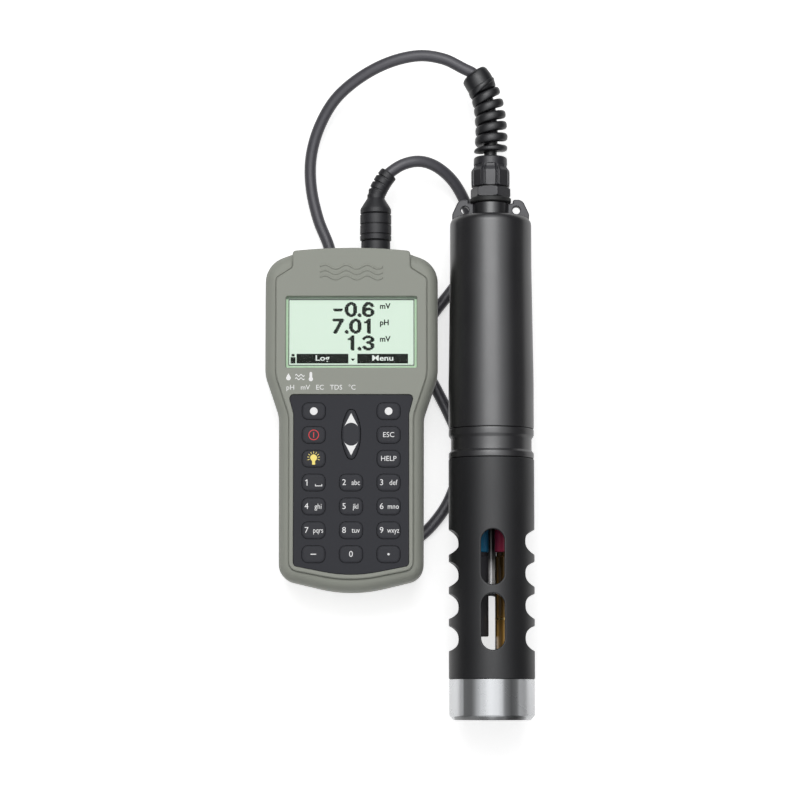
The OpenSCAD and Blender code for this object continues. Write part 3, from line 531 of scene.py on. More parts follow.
def rear_shell():
    levels = [(0.35, SPLIT_Z), (0, SPLIT_Z - 0.35)] + shoulder(4, 7.4, BACK_Z, -1)
    shell = new_object("rear_shell", loft(RIM, levels, 10), at_meter)
    carve(shell, loft(inset(RIM, WALL), [(0, FLOOR_Z), (0, SPLIT_Z + 1)], 4))
    for x, y in SCREWS:
        carve(shell, cylinder(3, FLOOR_Z - 0.5, SPLIT_Z, x, y, 24), operation="UNION")
        carve(shell, cylinder(2.8, 0, BACK_Z + 6, x, y, 24))
        carve(shell, cylinder(1.4, 0, SPLIT_Z + 1, x, y, 16))
    cover = [(-0.3, 0), (-0.3, BACK_Z), (0, BACK_Z + 0.3), (0, BACK_Z + 2.25)]
    carve(shell, loft(rectangle(66.4, 70.1, 5), cover, 6), on_meter(0, -41.35))
    carve(shell, round_slab(62.4, 59, 5, 0, BACK_Z + 3.25, 6), on_meter(0, -44.5))
    carve(shell, round_slab(60, 56.6, 4, 0, FLOOR_Z + 1, 6), on_meter(0, -44.5))
    for x in (-24, 24):
        carve(shell, cylinder(1.05, 0, FLOOR_Z + 1, x, -10.5, 16))
    carve(shell, SOCKET_HOLE, at_plug)
    carve(shell, round_slab(9.4, 4.6, 0.2, 87.9, 96, 2), at_port)
    dress(shell, case_finish, "case_plastic", ["rear_case"], 28)


def ring_plate(corners, width, z0, z1):
    """Flat frame of the given width along the inside of an outline."""
    outer, inner = rounded(corners, 4), rounded(inset(corners, width), 4)
    return skin(stack([(outer, z0), (outer, z1), (inner, z1), (inner, z0)]), True)


front_shell()
rear_shell()
lens = rectangle(70.2, 38.5, 0.9)
piece("window_lens", loft(lens, [(0.2, 38.98), (0, 39.15), (0, 40.1), (0.2, 40.3)], 4), at_window,
    lens_finish, "window_clear", ["display_window"])
piece("window_border", ring_plate(lens, 1.25, 38.8, 38.93), at_window, border_finish, "display_panel")
# Painted shadow: a darker strip on the screen just below the window's upper edge, where that edge casts its shade.
piece("window_painted_shadow", slab(box(-35.1, 17.9, 35.1, 19.25), 38.9, 38.96), at_window, painted_shadow_finish,
    "display_panel")
screen_edge = ring_plate(rectangle(67.6, 35.9, 0.5), 0.45, 38.4, 38.78)
piece("screen_edge", screen_edge, at_window, ec_finish, "black_plastic")
screen = together([round_slab(70, 42.7, 1, 35.35, 37.55, 4), round_slab(67.2, 35.5, 0.5, 37.5, 38.65, 4)])
piece("screen", screen, at_window, screen_finish, "display_panel", ["display_module"])

# ---- What the screen shows: dots drawn with a pen ----

PITCH = 0.51
DOT_H = PITCH * 0.96
PEN_SHAPE = 1.48
SCREEN_TOP = 38.66


def distance(p, a, b):
    """Distance from a point to a line for a pen that is wider than it is tall."""
    p, a, b = [Vector((v[0], v[1] * PEN_SHAPE)) for v in (p, a, b)]
    d = b - a
    t = max(0, min(1, (p - a).dot(d) / max(d.length_squared, 1e-9)))
    return (p - a - d * t).length


def dark(outline):
    return slab(outline, SCREEN_TOP, SCREEN_TOP + 0.05)


def dots(strokes, x0, y0, columns=14, rows=17):
    """Runs of dots that the strokes cover, each run one flat bar; strokes are (points, reach of the pen)."""
    bars = []
    for row in range(rows):
        start = None
        y = y0 + row * PITCH
        for column in range(columns + 1):
            p = (column + 0.5, row + 0.5)
            on = column < columns and any(
                distance(p, a, b) <= w for line, w in strokes for a, b in zip(line, line[1:]))
            if on and start is None:
                start = column
            if not on and start is not None:
                x = x0 + start * PITCH
                bars.append(dark(box(x, y, x + (column - start) * PITCH, y + DOT_H)))
                start = None
    return bars


PEN = 2.0
DIGITS = {
    "0": [(arc(6.75, 8, 4.75, 0, 360, 16, 6.6), PEN)],
    "1": [([(6.4, 1.35), (6.4, 14.6)], PEN), ([(5.8, 14.2), (2.2, 11.9)], 1.4)],
    "3": [(arc(6.4, 11.75, 4.5, 160, -90, 16, 2.85), PEN), (arc(6.6, 4.7, 4.7, 90, -160, 16, 3.3), PEN)],
    "6": [(arc(6.75, 4.95, 4.75, 0, 360, 16, 3.5), PEN), (arc(6.75, 8, 4.75, 35, 180, 16, 6.6), PEN)],
    "7": [([(2, 14.6), (10.6, 14.6), (3.4, 1.4)], PEN)],
    "-": [([(2.4, 7.8), (8, 7.8)], 2.4)],
    ".": [([(2.15, 1.4), (2.15, 2.5)], PEN)],
}
LINES = ((55.3, (("-", -9.8), ("0", -3.65), (".", 3.3), ("6", 5.7))),
         (46.3, (("7", -10.4), (".", -3.6), ("0", -1.25), ("1", 6.3))),
         (37.2, (("1", -2.5), (".", 3.3), ("3", 5.7))))

readout = []
for y, glyphs in LINES:
    for glyph, x in glyphs:
        readout += dots(DIGITS[glyph], x, y)
soft_keys = [box(-29.4, 30.2, -1.6, 35.4), box(3.2, 30.2, 30.4, 35.4)]
battery_sign = [box(-32.6, 30.2, -30, 33.6), box(-32.1, 34, -30.5, 35.3)]
arrow = [(0.8, 31.4), (2, 32.8), (-0.4, 32.8)]
readout += [dark(line) for line in soft_keys + battery_sign + [arrow]]
piece("screen_readout", together(readout), at_meter, ink_black, "display_panel", weighted=False)

INK_T = 0.03
CAP_HEIGHT = 0.729


def lettering(name, words, height, z, body=ROOT, material=ink_white_and_painted_glow, slot="keypad_rubber", weight=0.0,
        width=1.0, align="CENTER"):
    """Flat generic lettering; words are (text, x, y) in the meter's frame, height is that of a capital."""
    parts = []
    for text, x, y in words:
        curve = bpy.data.curves.new(name, "FONT")
        set_all(curve, body=text, size=height / CAP_HEIGHT, align_x=align, align_y="CENTER", offset=weight,
            extrude=INK_T / 2, resolution_u=3, fill_mode="BOTH")
        obj = shown(name, curve)
        mesh = mesh_of(obj)
        parts.append(([(v.co.x * width + x, v.co.y + y, v.co.z + z + INK_T / 2) for v in mesh.vertices],
            [tuple(p.vertices) for p in mesh.polygons]))
        bpy.data.objects.remove(obj)
        bpy.data.curves.remove(curve)
        bpy.data.meshes.remove(mesh)
    piece(name, together(parts), at_meter, material, slot, weighted=False, body=body)


lettering("screen_units", [("mV", 15.2, 61.1), ("pH", 15.2, 52.2), ("mV", 15.2, 43.3)], 3, SCREEN_TOP,
    material=ink_black, slot="display_panel", weight=0.12, align="LEFT")
lettering("screen_labels", [("Log", -15.6, 33), ("Menu", 16.8, 33)], 3, SCREEN_TOP + 0.07,
    slot="display_panel", weight=0.08, width=1.27)

# ---- Marks on the face ----


def inked(outline, z=FACE_Z):
    return slab(outline, z, z + INK_T)


def wavy(x0, x1, y, swing, count, steps, z):
    """Line of count waves from x0 to x1."""
    return [Vector((x0 + (x1 - x0) * i / steps, y + swing * sin(i / steps * 2 * count * pi), z))
        for i in range(steps + 1)]


waves = [sweep(wavy(-17, 17, 76.4 + 2.9 * k, 1.05, 3, 90, FACE_Z - 0.05), [0.1] + [0.6] * 89 + [0.1], 12)
    for k in range(3)]
piece("face_waves", together(waves), at_meter, case_finish, "case_plastic", angle=50)
lettering("face_units", [("pH   mV   EC   TDS   °C", -34.8, 16.9)], 2.7, FACE_Z, align="LEFT")

drop = [(-33.6, 22 + 2.1 * 1.25)] + arc(-33.6, 22, 1.25, 30, -210, 16)
icons = [inked(drop[::-1])]
for k in range(2):
    wave = wavy(-30, -25, 21.6 + 1.8 * k, 0.5, 2, 24, FACE_Z)
    icons.append(inked([(p.x, p.y - 0.28) for p in wave] + [(p.x, p.y + 0.28) for p in wave[::-1]]))
icons.append(inked(arc(-21.6, 21.4, 1.15, 130, 410, 20) + [(-20.9, 24.6)]
    + arc(-21.6, 24.6, 0.7, 20, 160, 6) + [(-22.3, 24.6)]))
piece("face_icons", together(icons), at_meter, ink_white_and_painted_glow, "keypad_rubber", weighted=False)

# ---- Keypad ----

PANEL_Z = FACE_Z - 0.8
KEY_TOP = FACE_Z - 0.05
KEY_FOOT = PANEL_Z - 2.9
INK_Z = KEY_TOP + 0.005
PITCH_X, PITCH_Y, KEY_Y = 20, 12.75, 4.2
ROWS = (("soft_left", "", "soft_right"), ("power", "", "escape"), ("lamp", "", "help"), "123", "456", "789",
        ("minus", "0", "point"))
PLACES = {"key_" + name: ((column - 1) * PITCH_X, KEY_Y - row * PITCH_Y)
          for row, names in enumerate(ROWS) for column, name in enumerate(names) if name}
KEYS = list(PLACES)
PLACES["key_rocker"] = (0, KEY_Y - 0.97 * PITCH_Y)
ROCKER_W, ROCKER_TIP, ROCKER_TIP_R = 5.0, 13.3, 2.4


def on_key(name):
    return on_meter(*PLACES[name])


def rocker_outline(grow):
    """Pointed oval: two flat arcs and two small ones that run into each other smoothly."""
    long, r = ROCKER_TIP - ROCKER_TIP_R, ROCKER_TIP_R
    big = (ROCKER_W ** 2 + long ** 2 - r ** 2) / (2 * (ROCKER_W - r))
    a = degrees(atan2(long, big - ROCKER_W))
    half = arc(ROCKER_W - big, 0, big + grow, -a, a, 32)[1:] + arc(0, long, r + grow, a, 180 - a, 12)[1:]
    return half + [(-x, -y) for x, y in half]


def rocker_loft(grow, levels):
    return skin(stack([(rocker_outline(grow - d), z) for d, z in levels]))


sheet = loft(PANEL, [(0, PANEL_Z - 1.6), (0, PANEL_Z - 0.35), (0.1, PANEL_Z - 0.1), (0.35, PANEL_Z)])
panel = new_object("key_panel", sheet, at_meter)
rim_levels = [(0, PANEL_Z - 2), (0, PANEL_Z - 0.12), (-0.12, PANEL_Z), (-0.12, PANEL_Z + 1)]
for name in KEYS:
    carve(panel, loft(rectangle(12.8, 9.3, 3.4), rim_levels, 6), on_key(name))
carve(panel, rocker_loft(0.27, rim_levels), on_key("key_rocker"))
dress(panel, panel_finish, "keypad_rubber", ["keypad_panel"])

skirt = round_slab(13.8, 10.3, 3.8, KEY_FOOT, KEY_FOOT + 1.2, 6)
cap = loft(rectangle(12.56, 9.06, 3.25), [(0, KEY_FOOT + 1.25)] + shoulder(1.6, 0.85, KEY_TOP))
for name in KEYS:
    piece(name + "_cap", together([skirt, cap]), on_key(name), key_finish, "keypad_rubber", [name], body=name)
rocker = [rocker_loft(0, [(0, KEY_FOOT + 0.5)] + shoulder(1.4, 0.85, KEY_TOP))]
rocker += [slab(arc(0, y, 1.5, 0, 345, 23), KEY_FOOT - 0.3, KEY_FOOT + 0.5) for y in (8, -8)]
piece("rocker_cap", together(rocker), on_key("key_rocker"), key_finish, "keypad_rubber", ["key_rocker"],
    body="key_rocker")

LETTERS = {"key_2": "abc", "key_3": "def", "key_4": "ghi", "key_5": "jkl", "key_6": "mno", "key_7": "pqrs",
    "key_8": "tuv", "key_9": "wxyz"}
for name, text in LETTERS.items():
    x, y = PLACES[name]
    lettering(name + "_digit", [(name[-1], x - 3.7, y)], 3.3, INK_Z, name)
    lettering(name + "_letters", [(text, x + 2.5, y - 0.1)], 2.9, INK_Z, name,
        width=0.78 if len(text) > 3 else 0.86)
for name, text, height in (("key_escape", "ESC", 2.8), ("key_help", "HELP", 2.8), ("key_0", "0", 3.3)):
    lettering(name + "_legend", [(text, *PLACES[name])], height, INK_Z, name)


def mark(name, solids, key, material=ink_white_and_painted_glow):
    """Sign on a key, drawn round the key's middle."""
    piece(name, together(solids), on_key(key), material, "keypad_rubber", weighted=False, body=key)


def on_ink(*outlines):
    return [inked(line, INK_Z) for line in outlines]


mark("key_1_space", on_ink(box(0.8, -2, 4.6, -1.6), box(0.8, -1.6, 1.2, -0.9), box(4.2, -1.6, 4.6, -0.9)),
    "key_1")
mark("key_1_digit", on_ink([(-3.7, -1.65), (-3.25, -1.65), (-3.25, 1.65), (-3.65, 1.65), (-4.55, 0.95),
    (-4.35, 0.6), (-3.7, 1.1)]), "key_1")
mark("key_minus_legend", on_ink(box(-1.5, -0.25, 1.5, 0.25)), "key_minus")
mark("key_point_legend", on_ink(arc(0, 0, 0.6, 0, 345, 23)), "key_point")
for name in ("key_soft_left", "key_soft_right"):
    mark(name + "_dot", on_ink(arc(0, 0, 2.05, 0, 352.5, 47)), name)
circle = turned([(2.8, INK_Z), (2.8, INK_Z + INK_T), (2.4, INK_Z + INK_T), (2.4, INK_Z)], 48)
mark("key_power_sign", [circle] + on_ink(box(-0.22, -1.5, 0.22, 1.5)), "key_power", ink_red_and_painted_glow)
bulb = [arc(0, 0.5, 1.8, -62, 242, 30) + [(-0.8, -1.6), (-0.8, -3.2), (0.8, -3.2), (0.8, -1.6)]]
for k in range(9):
    a = radians(-20 + 27.5 * k)
    c, s = cos(a), sin(a)
    ray = [(2.3, 0.16), (3.4, 0.16), (3.4, -0.16), (2.3, -0.16)]
    bulb.append([(r * c + w * s, 0.5 + r * s - w * c) for r, w in ray])
mark("key_lamp_bulb", on_ink(*bulb), "key_lamp", ink_yellow_and_painted_glow)
for name, way in (("rocker_arrow_up", 1), ("rocker_arrow_down", -1)):
    head = [(x, way * y) for x, y in arc(0, 1.8, 4.35, 30.4, 149.6, 12) + [(0, 11.3)]]
    mark(name, on_ink(head[::way]), "key_rocker")

# ---- Plug, cable and bend guard ----

NOSE_R, COLLAR_R, CORE_R = 7.9, 8.5, 6.6
COLLAR_START, COLLAR_END = 98.7, 113.3

body_profile = [(0, 83), (7.4, 83), (NOSE_R, 83.5), (NOSE_R, 98), (7.6, 98.4), (CORE_R, 98.4),
    (CORE_R, 113.6), (8.0, 113.6), (8.4, 114), (8.4, 115.4)]
body_profile += [(8.4 - 0.25 * k * k / 9, 115.4 + 0.4 * k) for k in range(1, 4)]
body_profile += [(8.15 - 3.5 * k / 8, 116.6 + 5.6 * k / 8) for k in range(1, 8)]
body_profile += [(4.75, 122), (4.6, 122.6), (4.6, 124.2), (4.2, 124.6), (0, 124.6)]
piece("plug_shell", turned(body_profile, 80, False), at_plug, plug_finish, "moulded_rubber", ["plug_body"])

BOOT = [(PLUG_X + 0.1, 122, PLUG_Z), (PLUG_X + 0.9, 125.6, PLUG_Z), (15.4, 129, PLUG_Z),
    (17.7, 132.8, PLUG_Z), (20.5, 136.4, PLUG_Z)]
BOOT_R, GROOVE_DEPTH = 4.95, 0.85
INNER_SIDE = Vector((0.87, -0.5, 0))


def boot():
    """Bend relief of the plug: broad rings, and grooves that fade out on the inner side of the bend."""
    on_boot, _ = measured(spline(BOOT, 14))
    levels = [(0, 4.6, 0), (2.9, 4.7, 0), (3.3, BOOT_R, 0)]
    for groove in (4.6, 8.3, 12.0):
        levels += [(groove + at, BOOT_R, dip) for at, dip in (
            (-0.6, 0), (-0.5, 0.25), (-0.35, 1), (0.35, 1), (0.5, 0.25), (0.6, 0))]
        levels += [(groove + 0.6 + k * 0.6, BOOT_R, 0) for k in range(1, 5)]
    levels += [(15.4, BOOT_R - 0.05, 0), (15.8, BOOT_R - 0.3, 0), (16, BOOT_R - 0.8, 0)]
    rings = []
    for s, radius, dip in levels:
        point, (_, side, up) = on_boot(s)
        ring = []
        for a in whole_turn(64):
            out = side * cos(a) + up * sin(a)
            fade = min(1, max(0, 0.85 - out.dot(INNER_SIDE)))
            ring.append(point + out * (radius - GROOVE_DEPTH * dip * fade))
        rings.append(ring)
    return skin(rings)


piece("plug_boot", boot(), at_meter, plug_finish, "moulded_rubber", angle=42)

collar_profile = [(CORE_R + 0.05, COLLAR_START), (COLLAR_R - 0.5, COLLAR_START),
    (COLLAR_R, COLLAR_START + 0.5)]
for at in (2.8, 8.4):
    z = COLLAR_START + at
    collar_profile += [(COLLAR_R - deep, z + up) for deep, up in (
        (0, 0), (0.15, 0.1), (0.65, 0.2), (0.65, 0.7), (0.15, 0.8), (0, 0.9))]
collar_profile += [(COLLAR_R, COLLAR_END - 0.5), (COLLAR_R - 0.5, COLLAR_END), (CORE_R + 0.05, COLLAR_END)]
piece("turning_collar", turned(collar_profile), at_plug, plug_finish, "moulded_rubber", ["plug_collar"],
    body="plug_collar")

CABLE_R = 3.15
probe_x = PROBE_X - METER_X
foot_y = FOOT_Y - METER_Y
NUT_TOP = foot_y + 303.9
RISE = [(28, 141.2, 23.6), (37, 143.1, 22), (46, 140.8, 18.5), (54.6, 134.4, 13), (61, 124.8, 8),
    (65.6, 113, 4.3)]
ON_TABLE = [(67, 99.5), (62.4, 86), (54.4, 74.4), (45.6, 63.2), (39.2, 53), (37.6, 42.2), (40.4, 31), (46.2, 19.5),
            (53, 6), (58, -6.8), (58.6, -20.5), (55.4, -35), (48.2, -48.8), (36, -61.5), (17.9, -70.8),
            (-3.9, -70.5), (-21, -58), (-28.4, -37), (-28.6, -12), (-24.6, 14), (-18.2, 40), (-12.4, 64),
            (-10.2, 83), (-13, 98.8)]
CLIMB = [(-18.9, 114, 3.4), (-22.8, 131.4, 4.4), (-22.9, 148, 6.6), (-18.4, 164, 10.4), (-9.5, 178.6, 15.8),
    (4, 189.6, 21), (19.8, 197.2, 25.2), (36, 200.5, 27.6), (49.8, 198.4, 29), (60.6, 193, PROBE_Z)]
GUARD = [(probe_x + dx, NUT_TOP + dy, PROBE_Z) for dx, dy in (
    (0, -4.8), (0, 1), (0.4, 7), (0.6, 13.6), (0.2, 20), (-0.5, 26.4), (-1.9, 32.4), (-4.1, 38), (-7.2, 43.4),
    (-9.4, 46.5))]
INTO_PROBE = [(probe_x, foot_y + y, PROBE_Z) for y in (280, 262)]
cable = BOOT + RISE + [(x, y, CABLE_R) for x, y in ON_TABLE] + CLIMB + GUARD[::-1] + INTO_PROBE
cable_path = [Vector((p.x, p.y, max(p.z, CABLE_R))) for p in spline(cable, 8)[16:]]
piece("cable_jacket", sweep(cable_path, [CABLE_R] * len(cable_path), 40), at_meter, cable_finish,
    "cable_jacket", ["cable"], weighted=False)

on_guard, guard_length = measured(spline(GUARD, 12))


def coil():
    """Spiral rib: its rings all but touch inside the bend and stand apart outside it."""
    start, end, turns, per_turn, foot = 7.4, 46.6, 6.7, 60, 3.3
    count = int(turns * per_turn)
    rings = []
    for i in range(count + 1):
        f = i / count
        a = 2 * pi * (turns * f - 0.02)
        p, (ahead, side, up) = on_guard(start + (end - start) * f)
        out = side * cos(a) + up * sin(a)
        reach = 9.0 - 0.9 * f
        half = (2.4 + 0.35 * (0.5 + 0.5 * cos(a))) * min(1, 0.35 + 6 * f, 0.35 + 6 * (1 - f))
        mid = (foot + reach) / 2
        high = (reach - foot) / 2
        section = [(signed_power(cos(b), 0.75), signed_power(sin(b), 0.75)) for b in whole_turn(20)]
        rings.append([p + out * (mid + high * u) + ahead * (half * v) for u, v in section])
    return skin(rings)


core_at = [0.5 + (guard_length - 1) * k / 60 for k in range(61)]
core = sweep([on_guard(s)[0] for s in core_at], [3.5] * 61, 40)
cap_shape = [(guard_length - back, r) for back, r in (
    (12.6, 3.5), (12.2, 6.2), (11.2, 7.3), (9, 7.8), (5, 7.85), (2, 7.65), (1, 7.15), (0.4, 6.4), (0.05, 5.2))]
guard_cap = sweep([on_guard(s)[0] for s, _ in cap_shape], [r for _, r in cap_shape], 56)
piece("guard_coil", together([coil(), core, guard_cap]), at_meter, guard_finish, "moulded_rubber",
    ["bend_guard"], angle=50, weighted=False)

# ---- Gland ----

NUT, HEX, BOSS_END = 287.6, 281.5, 278.6
GRIPS = 8


def nut_shape(r, z, a):
    """Eight wide grips with a pair of narrow slots between them."""
    if r < 8.6 or z < NUT + 0.2 or z > NUT + 11.9:
        return r
    phase = (a / (2 * pi) * GRIPS + 0.71) % 1
    groove = max(0, 1 - abs(phase - 0.12) / 0.07, 1 - abs(phase - 0.3) / 0.07)
    flat = (r - 0.55) / max(cos((phase - 0.71) * 2 * pi / GRIPS), 0.9)
    return min(r, flat) - 0.75 * min(1, groove * 1.5) * min(1, (NUT + 11.9 - z) / 0.8)


def hex_shape(r, z, a):
    """Six flats, turned a little as in the photo."""
    off = (a + radians(11)) % (pi / 3) - pi / 6
    return min(r, 9.45 / cos(off)) if z < NUT - 0.6 and r > 9 else r


nut_profile = [(r, NUT + z) for r, z in (
    (4.8, 0.1), (8.35, 0.1), (8.35, 0), (10.3, 0), (10.75, 0.4), (10.8, 3), (10.8, 8), (10.5, 8.7), (9.6, 9.9),
    (9.25, 10.6), (9.2, 11.8), (9.1, 12.2), (9.0, 15.2), (8.7, 15.9), (8.2, 16.25), (4.8, 16.3))]
piece("clamping_nut", turned(nut_profile, 256, True, nut_shape), at_probe, gland_finish, "black_plastic",
    ["gland_nut"], 25)
hex_profile = [(3.45, 262), (6.45, 262)] + [(r, HEX + z) for r, z in (
    (6.45, 0), (9.8, 0), (10.4, 0.3), (10.9, 0.75), (10.9, 4.65), (10.4, 5.1), (9.8, 5.4), (8.3, 5.4))]
hex_profile += [(8.3, 297), (3.45, 297)]
piece("gland_hexagon", turned(hex_profile, 288, True, hex_shape), at_probe, gland_finish, "black_plastic",
    ["gland_body"], 25)
washer = [(6.55, BOSS_END + 0.05), (10.7, BOSS_END + 0.05), (11.15, BOSS_END + 0.5), (11.15, HEX - 0.6),
    (10.6, HEX - 0.05), (6.55, HEX - 0.05)]
piece("sealing_washer", turned(washer), at_probe, seal_finish, "seal_rubber", ["gland_washer"])

# ---- Probe ----

SEAM, HOUSING_R, TOP_R, HOUSING_TOP = 155.5, 22.95, 22.0, 270.9
HEAD_TOP = 139.4
SENSOR_X, TEMPERATURE_Y = 9.1, 11
at_ec, at_ph = beside(-SENSOR_X), beside(SENSOR_X)

profile = [(20.3, SEAM), (HOUSING_R - 0.6, SEAM), (HOUSING_R - 0.2, SEAM + 0.2), (HOUSING_R, SEAM + 0.7)]
profile += [(HOUSING_R, SEAM + 5 * k) for k in range(1, 6)]
profile += [(HOUSING_R + (TOP_R - HOUSING_R) * k / 12, 181 + 63 * k / 12) for k in range(1, 13)]
profile += [(TOP_R, 244 + 7.4 * k) for k in range(1, 4)]
profile += [(TOP_R - 4.6 * (1 - cos(a)), HOUSING_TOP - 4.6 * (1 - sin(a)))
    for a in (radians(d) for d in range(15, 91, 9))]
profile += [(9.9, HOUSING_TOP), (9.6, HOUSING_TOP + 0.1), (9.5, HOUSING_TOP + 0.4), (9.5, BOSS_END - 0.4),
    (9.1, BOSS_END), (6.5, BOSS_END), (6.5, HOUSING_TOP - 4), (TOP_R - 2.3, HOUSING_TOP - 4),
    (TOP_R - 2.3, SEAM + 14), (20.3, SEAM + 14)]
piece("housing_tube", turned(profile, 160), at_probe, housing_finish, "housing_plastic", ["housing"], 35)


def on_lug(p):
    return at_probe((p[0], -p[2], p[1]))


def lug(name, side):
    """Flat hanging lug with bevelled edges and a round hole."""
    half = [(9.2, 266, 0.3), (20.6, 266, 0.3), (20.9, 272.4, 4), (17.2, 280.4, 4), (12, 280.4, 1.2),
        (12, 278.4, 0.2), (9.2, 278.2, 0.3)]
    corners = [(side * x, y, r) for x, y, r in half[::side]]
    levels = [(0.6, -2.5), (0.15, -2.25), (0, -1.9), (0, 1.9), (0.15, 2.25), (0.6, 2.5)]
    plate = new_object(name, loft(corners, levels), on_lug)
    hole = [(2.5, -3), (2.5, -2.5), (2.1, -2.1), (2.1, 2.1), (2.5, 2.5), (2.5, 3)]
    carve(plate, turned(hole, 40, False, x=side * 13.9, y=274.6), on_lug)
    dress(plate, lug_finish, "housing_plastic", angle=25)


lug("lug_right", 1)
lug("lug_left", -1)

head = [(0, 127), (19.3, 127), (20.25, 128), (20.25, HEAD_TOP), (22.2, HEAD_TOP + 0.05),
    (22.7, HEAD_TOP + 0.3), (22.9, HEAD_TOP + 0.8), (22.9, 142.3), (22.6, 142.8), (21.95, 143.6),
    (21.7, 144.1), (21.7, 149.9), (21.95, 150.5), (22.6, 151.5), (22.9, 152.1), (22.9, SEAM - 0.7),
    (22.7, SEAM - 0.25), (22.2, SEAM - 0.05), (20.25, SEAM - 0.05), (20.25, 168), (0, 168)]
head_piece = new_object("grooved_head", turned(head, 160, False), at_probe)
for x, y, r, deep in ((-SENSOR_X, 0, 5.05, 4.2), (SENSOR_X, 0, 5.05, 4.2), (0, TEMPERATURE_Y, 2.85, 2.2)):
    carve(head_piece, cylinder(r, 126, 133, x, y), at_probe)
    carve(head_piece, cylinder(deep, 132, 170, x, y), at_probe)
for at in (SEAM + 6, HEAD_TOP - 5):
    carve(head_piece, turned([(18.45, at - 1), (21, at - 1), (21, at + 1), (18.45, at + 1)]), at_probe)
dress(head_piece, housing_finish, "housing_plastic", ["sensor_head"], 35)

# ---- Slotted guard: a flat plate with rounded holes, rolled into a tube ----

GUARD_R, GUARD_BORE = 23.0, 20.4
GUARD_LOW, GUARD_HIGH = 21.75, HEAD_TOP - 0.05
GUARD_T = GUARD_R - GUARD_BORE
OUTER, WALLS, INNER = 0, 1, 2


def capsule(half_x, half_y, steps=14):
    """Outline with round ends, as points with the way they face."""
    r = min(half_x, half_y)
    dx, dy = half_x - r, half_y - r
    out = []
    for cx, cy, a0 in ((dx, dy, 0), (-dx, dy, 90), (-dx, -dy, 180), (dx, -dy, 270)):
        for k in range(steps + 1):
            a = radians(a0 + 90 * k / steps)
            out.append((cx + r * cos(a), cy + r * sin(a), cos(a), sin(a)))
    return [p for i, p in enumerate(out) if (Vector(p[:2]) - Vector(out[i - 1][:2])).length > 1e-6]


def squarish(half_x, half_y, power=2.6, steps=56):
    """Outline between an ellipse and a rectangle, as points with the way they face."""
    out = []
    for a in whole_turn(steps):
        x, y = [signed_power(v, 2 / power) if abs(v) > 1e-9 else 0 for v in (cos(a), sin(a))]
        n = Vector((signed_power(x, power - 1) / half_x, signed_power(y, power - 1) / half_y)).normalized()
        out.append((x * half_x, y * half_y, n.x, n.y))
    return out


def guard_plate():
    """Flat plate: u goes round the tube, v along it, w inwards from its face. One layer keeps the way each
    point faces, and one tells outer, inner and wall faces apart."""
    bm = bmesh.new()
    facing = bm.verts.layers.float_vector.new("facing")
    kind = bm.faces.layers.int.new("kind")
    u0 = -radians(30) * GUARD_R
    u1 = u0 + 2 * pi * GUARD_R

    def point(u, v, w, n):
        vert = bm.verts.new((u, v, w))
        vert[facing] = n
        return vert

    def walls(rings, sides):
        for a, b in zip(rings, rings[1:]):
            for i, j in sides:
                bm.faces.new((a[i], a[j], b[j], b[i]))[kind] = WALLS
        loops[OUTER].append(rings[0])
        loops[INNER].append(rings[-1])

    loops = {OUTER: [], INNER: []}
    edge, rim = 0.3, 0.5
    holes = [(a, v, 6.2, half, 0.8) for a in (0, 180) for v, half in ((86.1, 14.7), (51.9, 14.9))]
    holes += [(a, 43.3 + 17.15 * k, 14.5, 6.5, 0.55) for a in (90, 270) for k in range(4)]
    for centre, v, half_x, half_y, fillet in holes:
        outline = (capsule if half_x < half_y else squarish)(half_x, half_y)
        levels = [(fillet * (1 - sin(a)), fillet * (1 - cos(a)), sin(a), -cos(a))
            for a in (radians(22.5 * k) for k in range(5))]
        levels += [(0, GUARD_T - edge, 1, 0), (edge, GUARD_T, 1, 0)]
        rings = []
        for grow, w, sideways, outwards in levels:
            ring = []
            for x, y, nx, ny in outline:
                u = radians(centre) * GUARD_R + GUARD_R * asin((x + grow * nx) / GUARD_R)
                ring.append(point(u, v + y + grow * ny, w, (-nx * sideways, -ny * sideways, outwards)))
            rings.append(ring)
        walls(rings, [(i, (i + 1) % len(outline)) for i in range(len(outline))])
    rings = []
    ends = [(0, rim, 0, -1), (rim * 0.3, rim * 0.3, 0.7, -0.7), (rim, 0, 1, 0), (GUARD_T, 0, 1, 0)]
    for w, inwards, ny, nz in ends:
        low, high = GUARD_LOW + inwards, GUARD_HIGH - inwards
        around = [(u0, low, -1), (u1, low, -1), (u1, high, 1), (u0, high, 1)]
        rings.append([point(u, v, w, (0, way * ny, nz)) for u, v, way in around])
    walls(rings, ((1, 0), (3, 2)))
    for side, outlines in loops.items():
        edges = []
        for ring in outlines:
            for a, b in zip(ring, ring[1:] + ring[:1]):
                edges.append(bm.edges.get((a, b)) or bm.edges.new((a, b)))
        for item in bmesh.ops.triangle_fill(bm, edges=edges, use_beauty=True)["geom"]:
            if isinstance(item, bmesh.types.BMFace):
                item[kind] = side
    cuts = 150
    for k in range(1, cuts):
        bmesh.ops.bisect_plane(bm, geom=bm.verts[:] + bm.edges[:] + bm.faces[:], dist=1e-5,
            plane_co=(u0 + (u1 - u0) * k / cuts, 0, 0), plane_no=(1, 0, 0))
    return bm, facing, kind


def roll(u, w):
    """Angle round the tube: holes look cut straight through from the front or from the side."""
    a = u / GUARD_R
    quarter = round(a / pi) * pi
    b = a - quarter
    near, far = radians(17), radians(46)

    def straight(t):
        return asin(max(-1, min(1, GUARD_R * sin(t) / (GUARD_R - w))))

    m = abs(b)
    if m <= near:
        m = straight(m)
    elif m >= far:
        m = pi / 2 - straight(pi / 2 - m)
    else:
        lo, hi = straight(near), pi / 2 - straight(pi / 2 - far)
        m = lo + (hi - lo) * (m - near) / (far - near)
    return quarter + copysign(m, b)


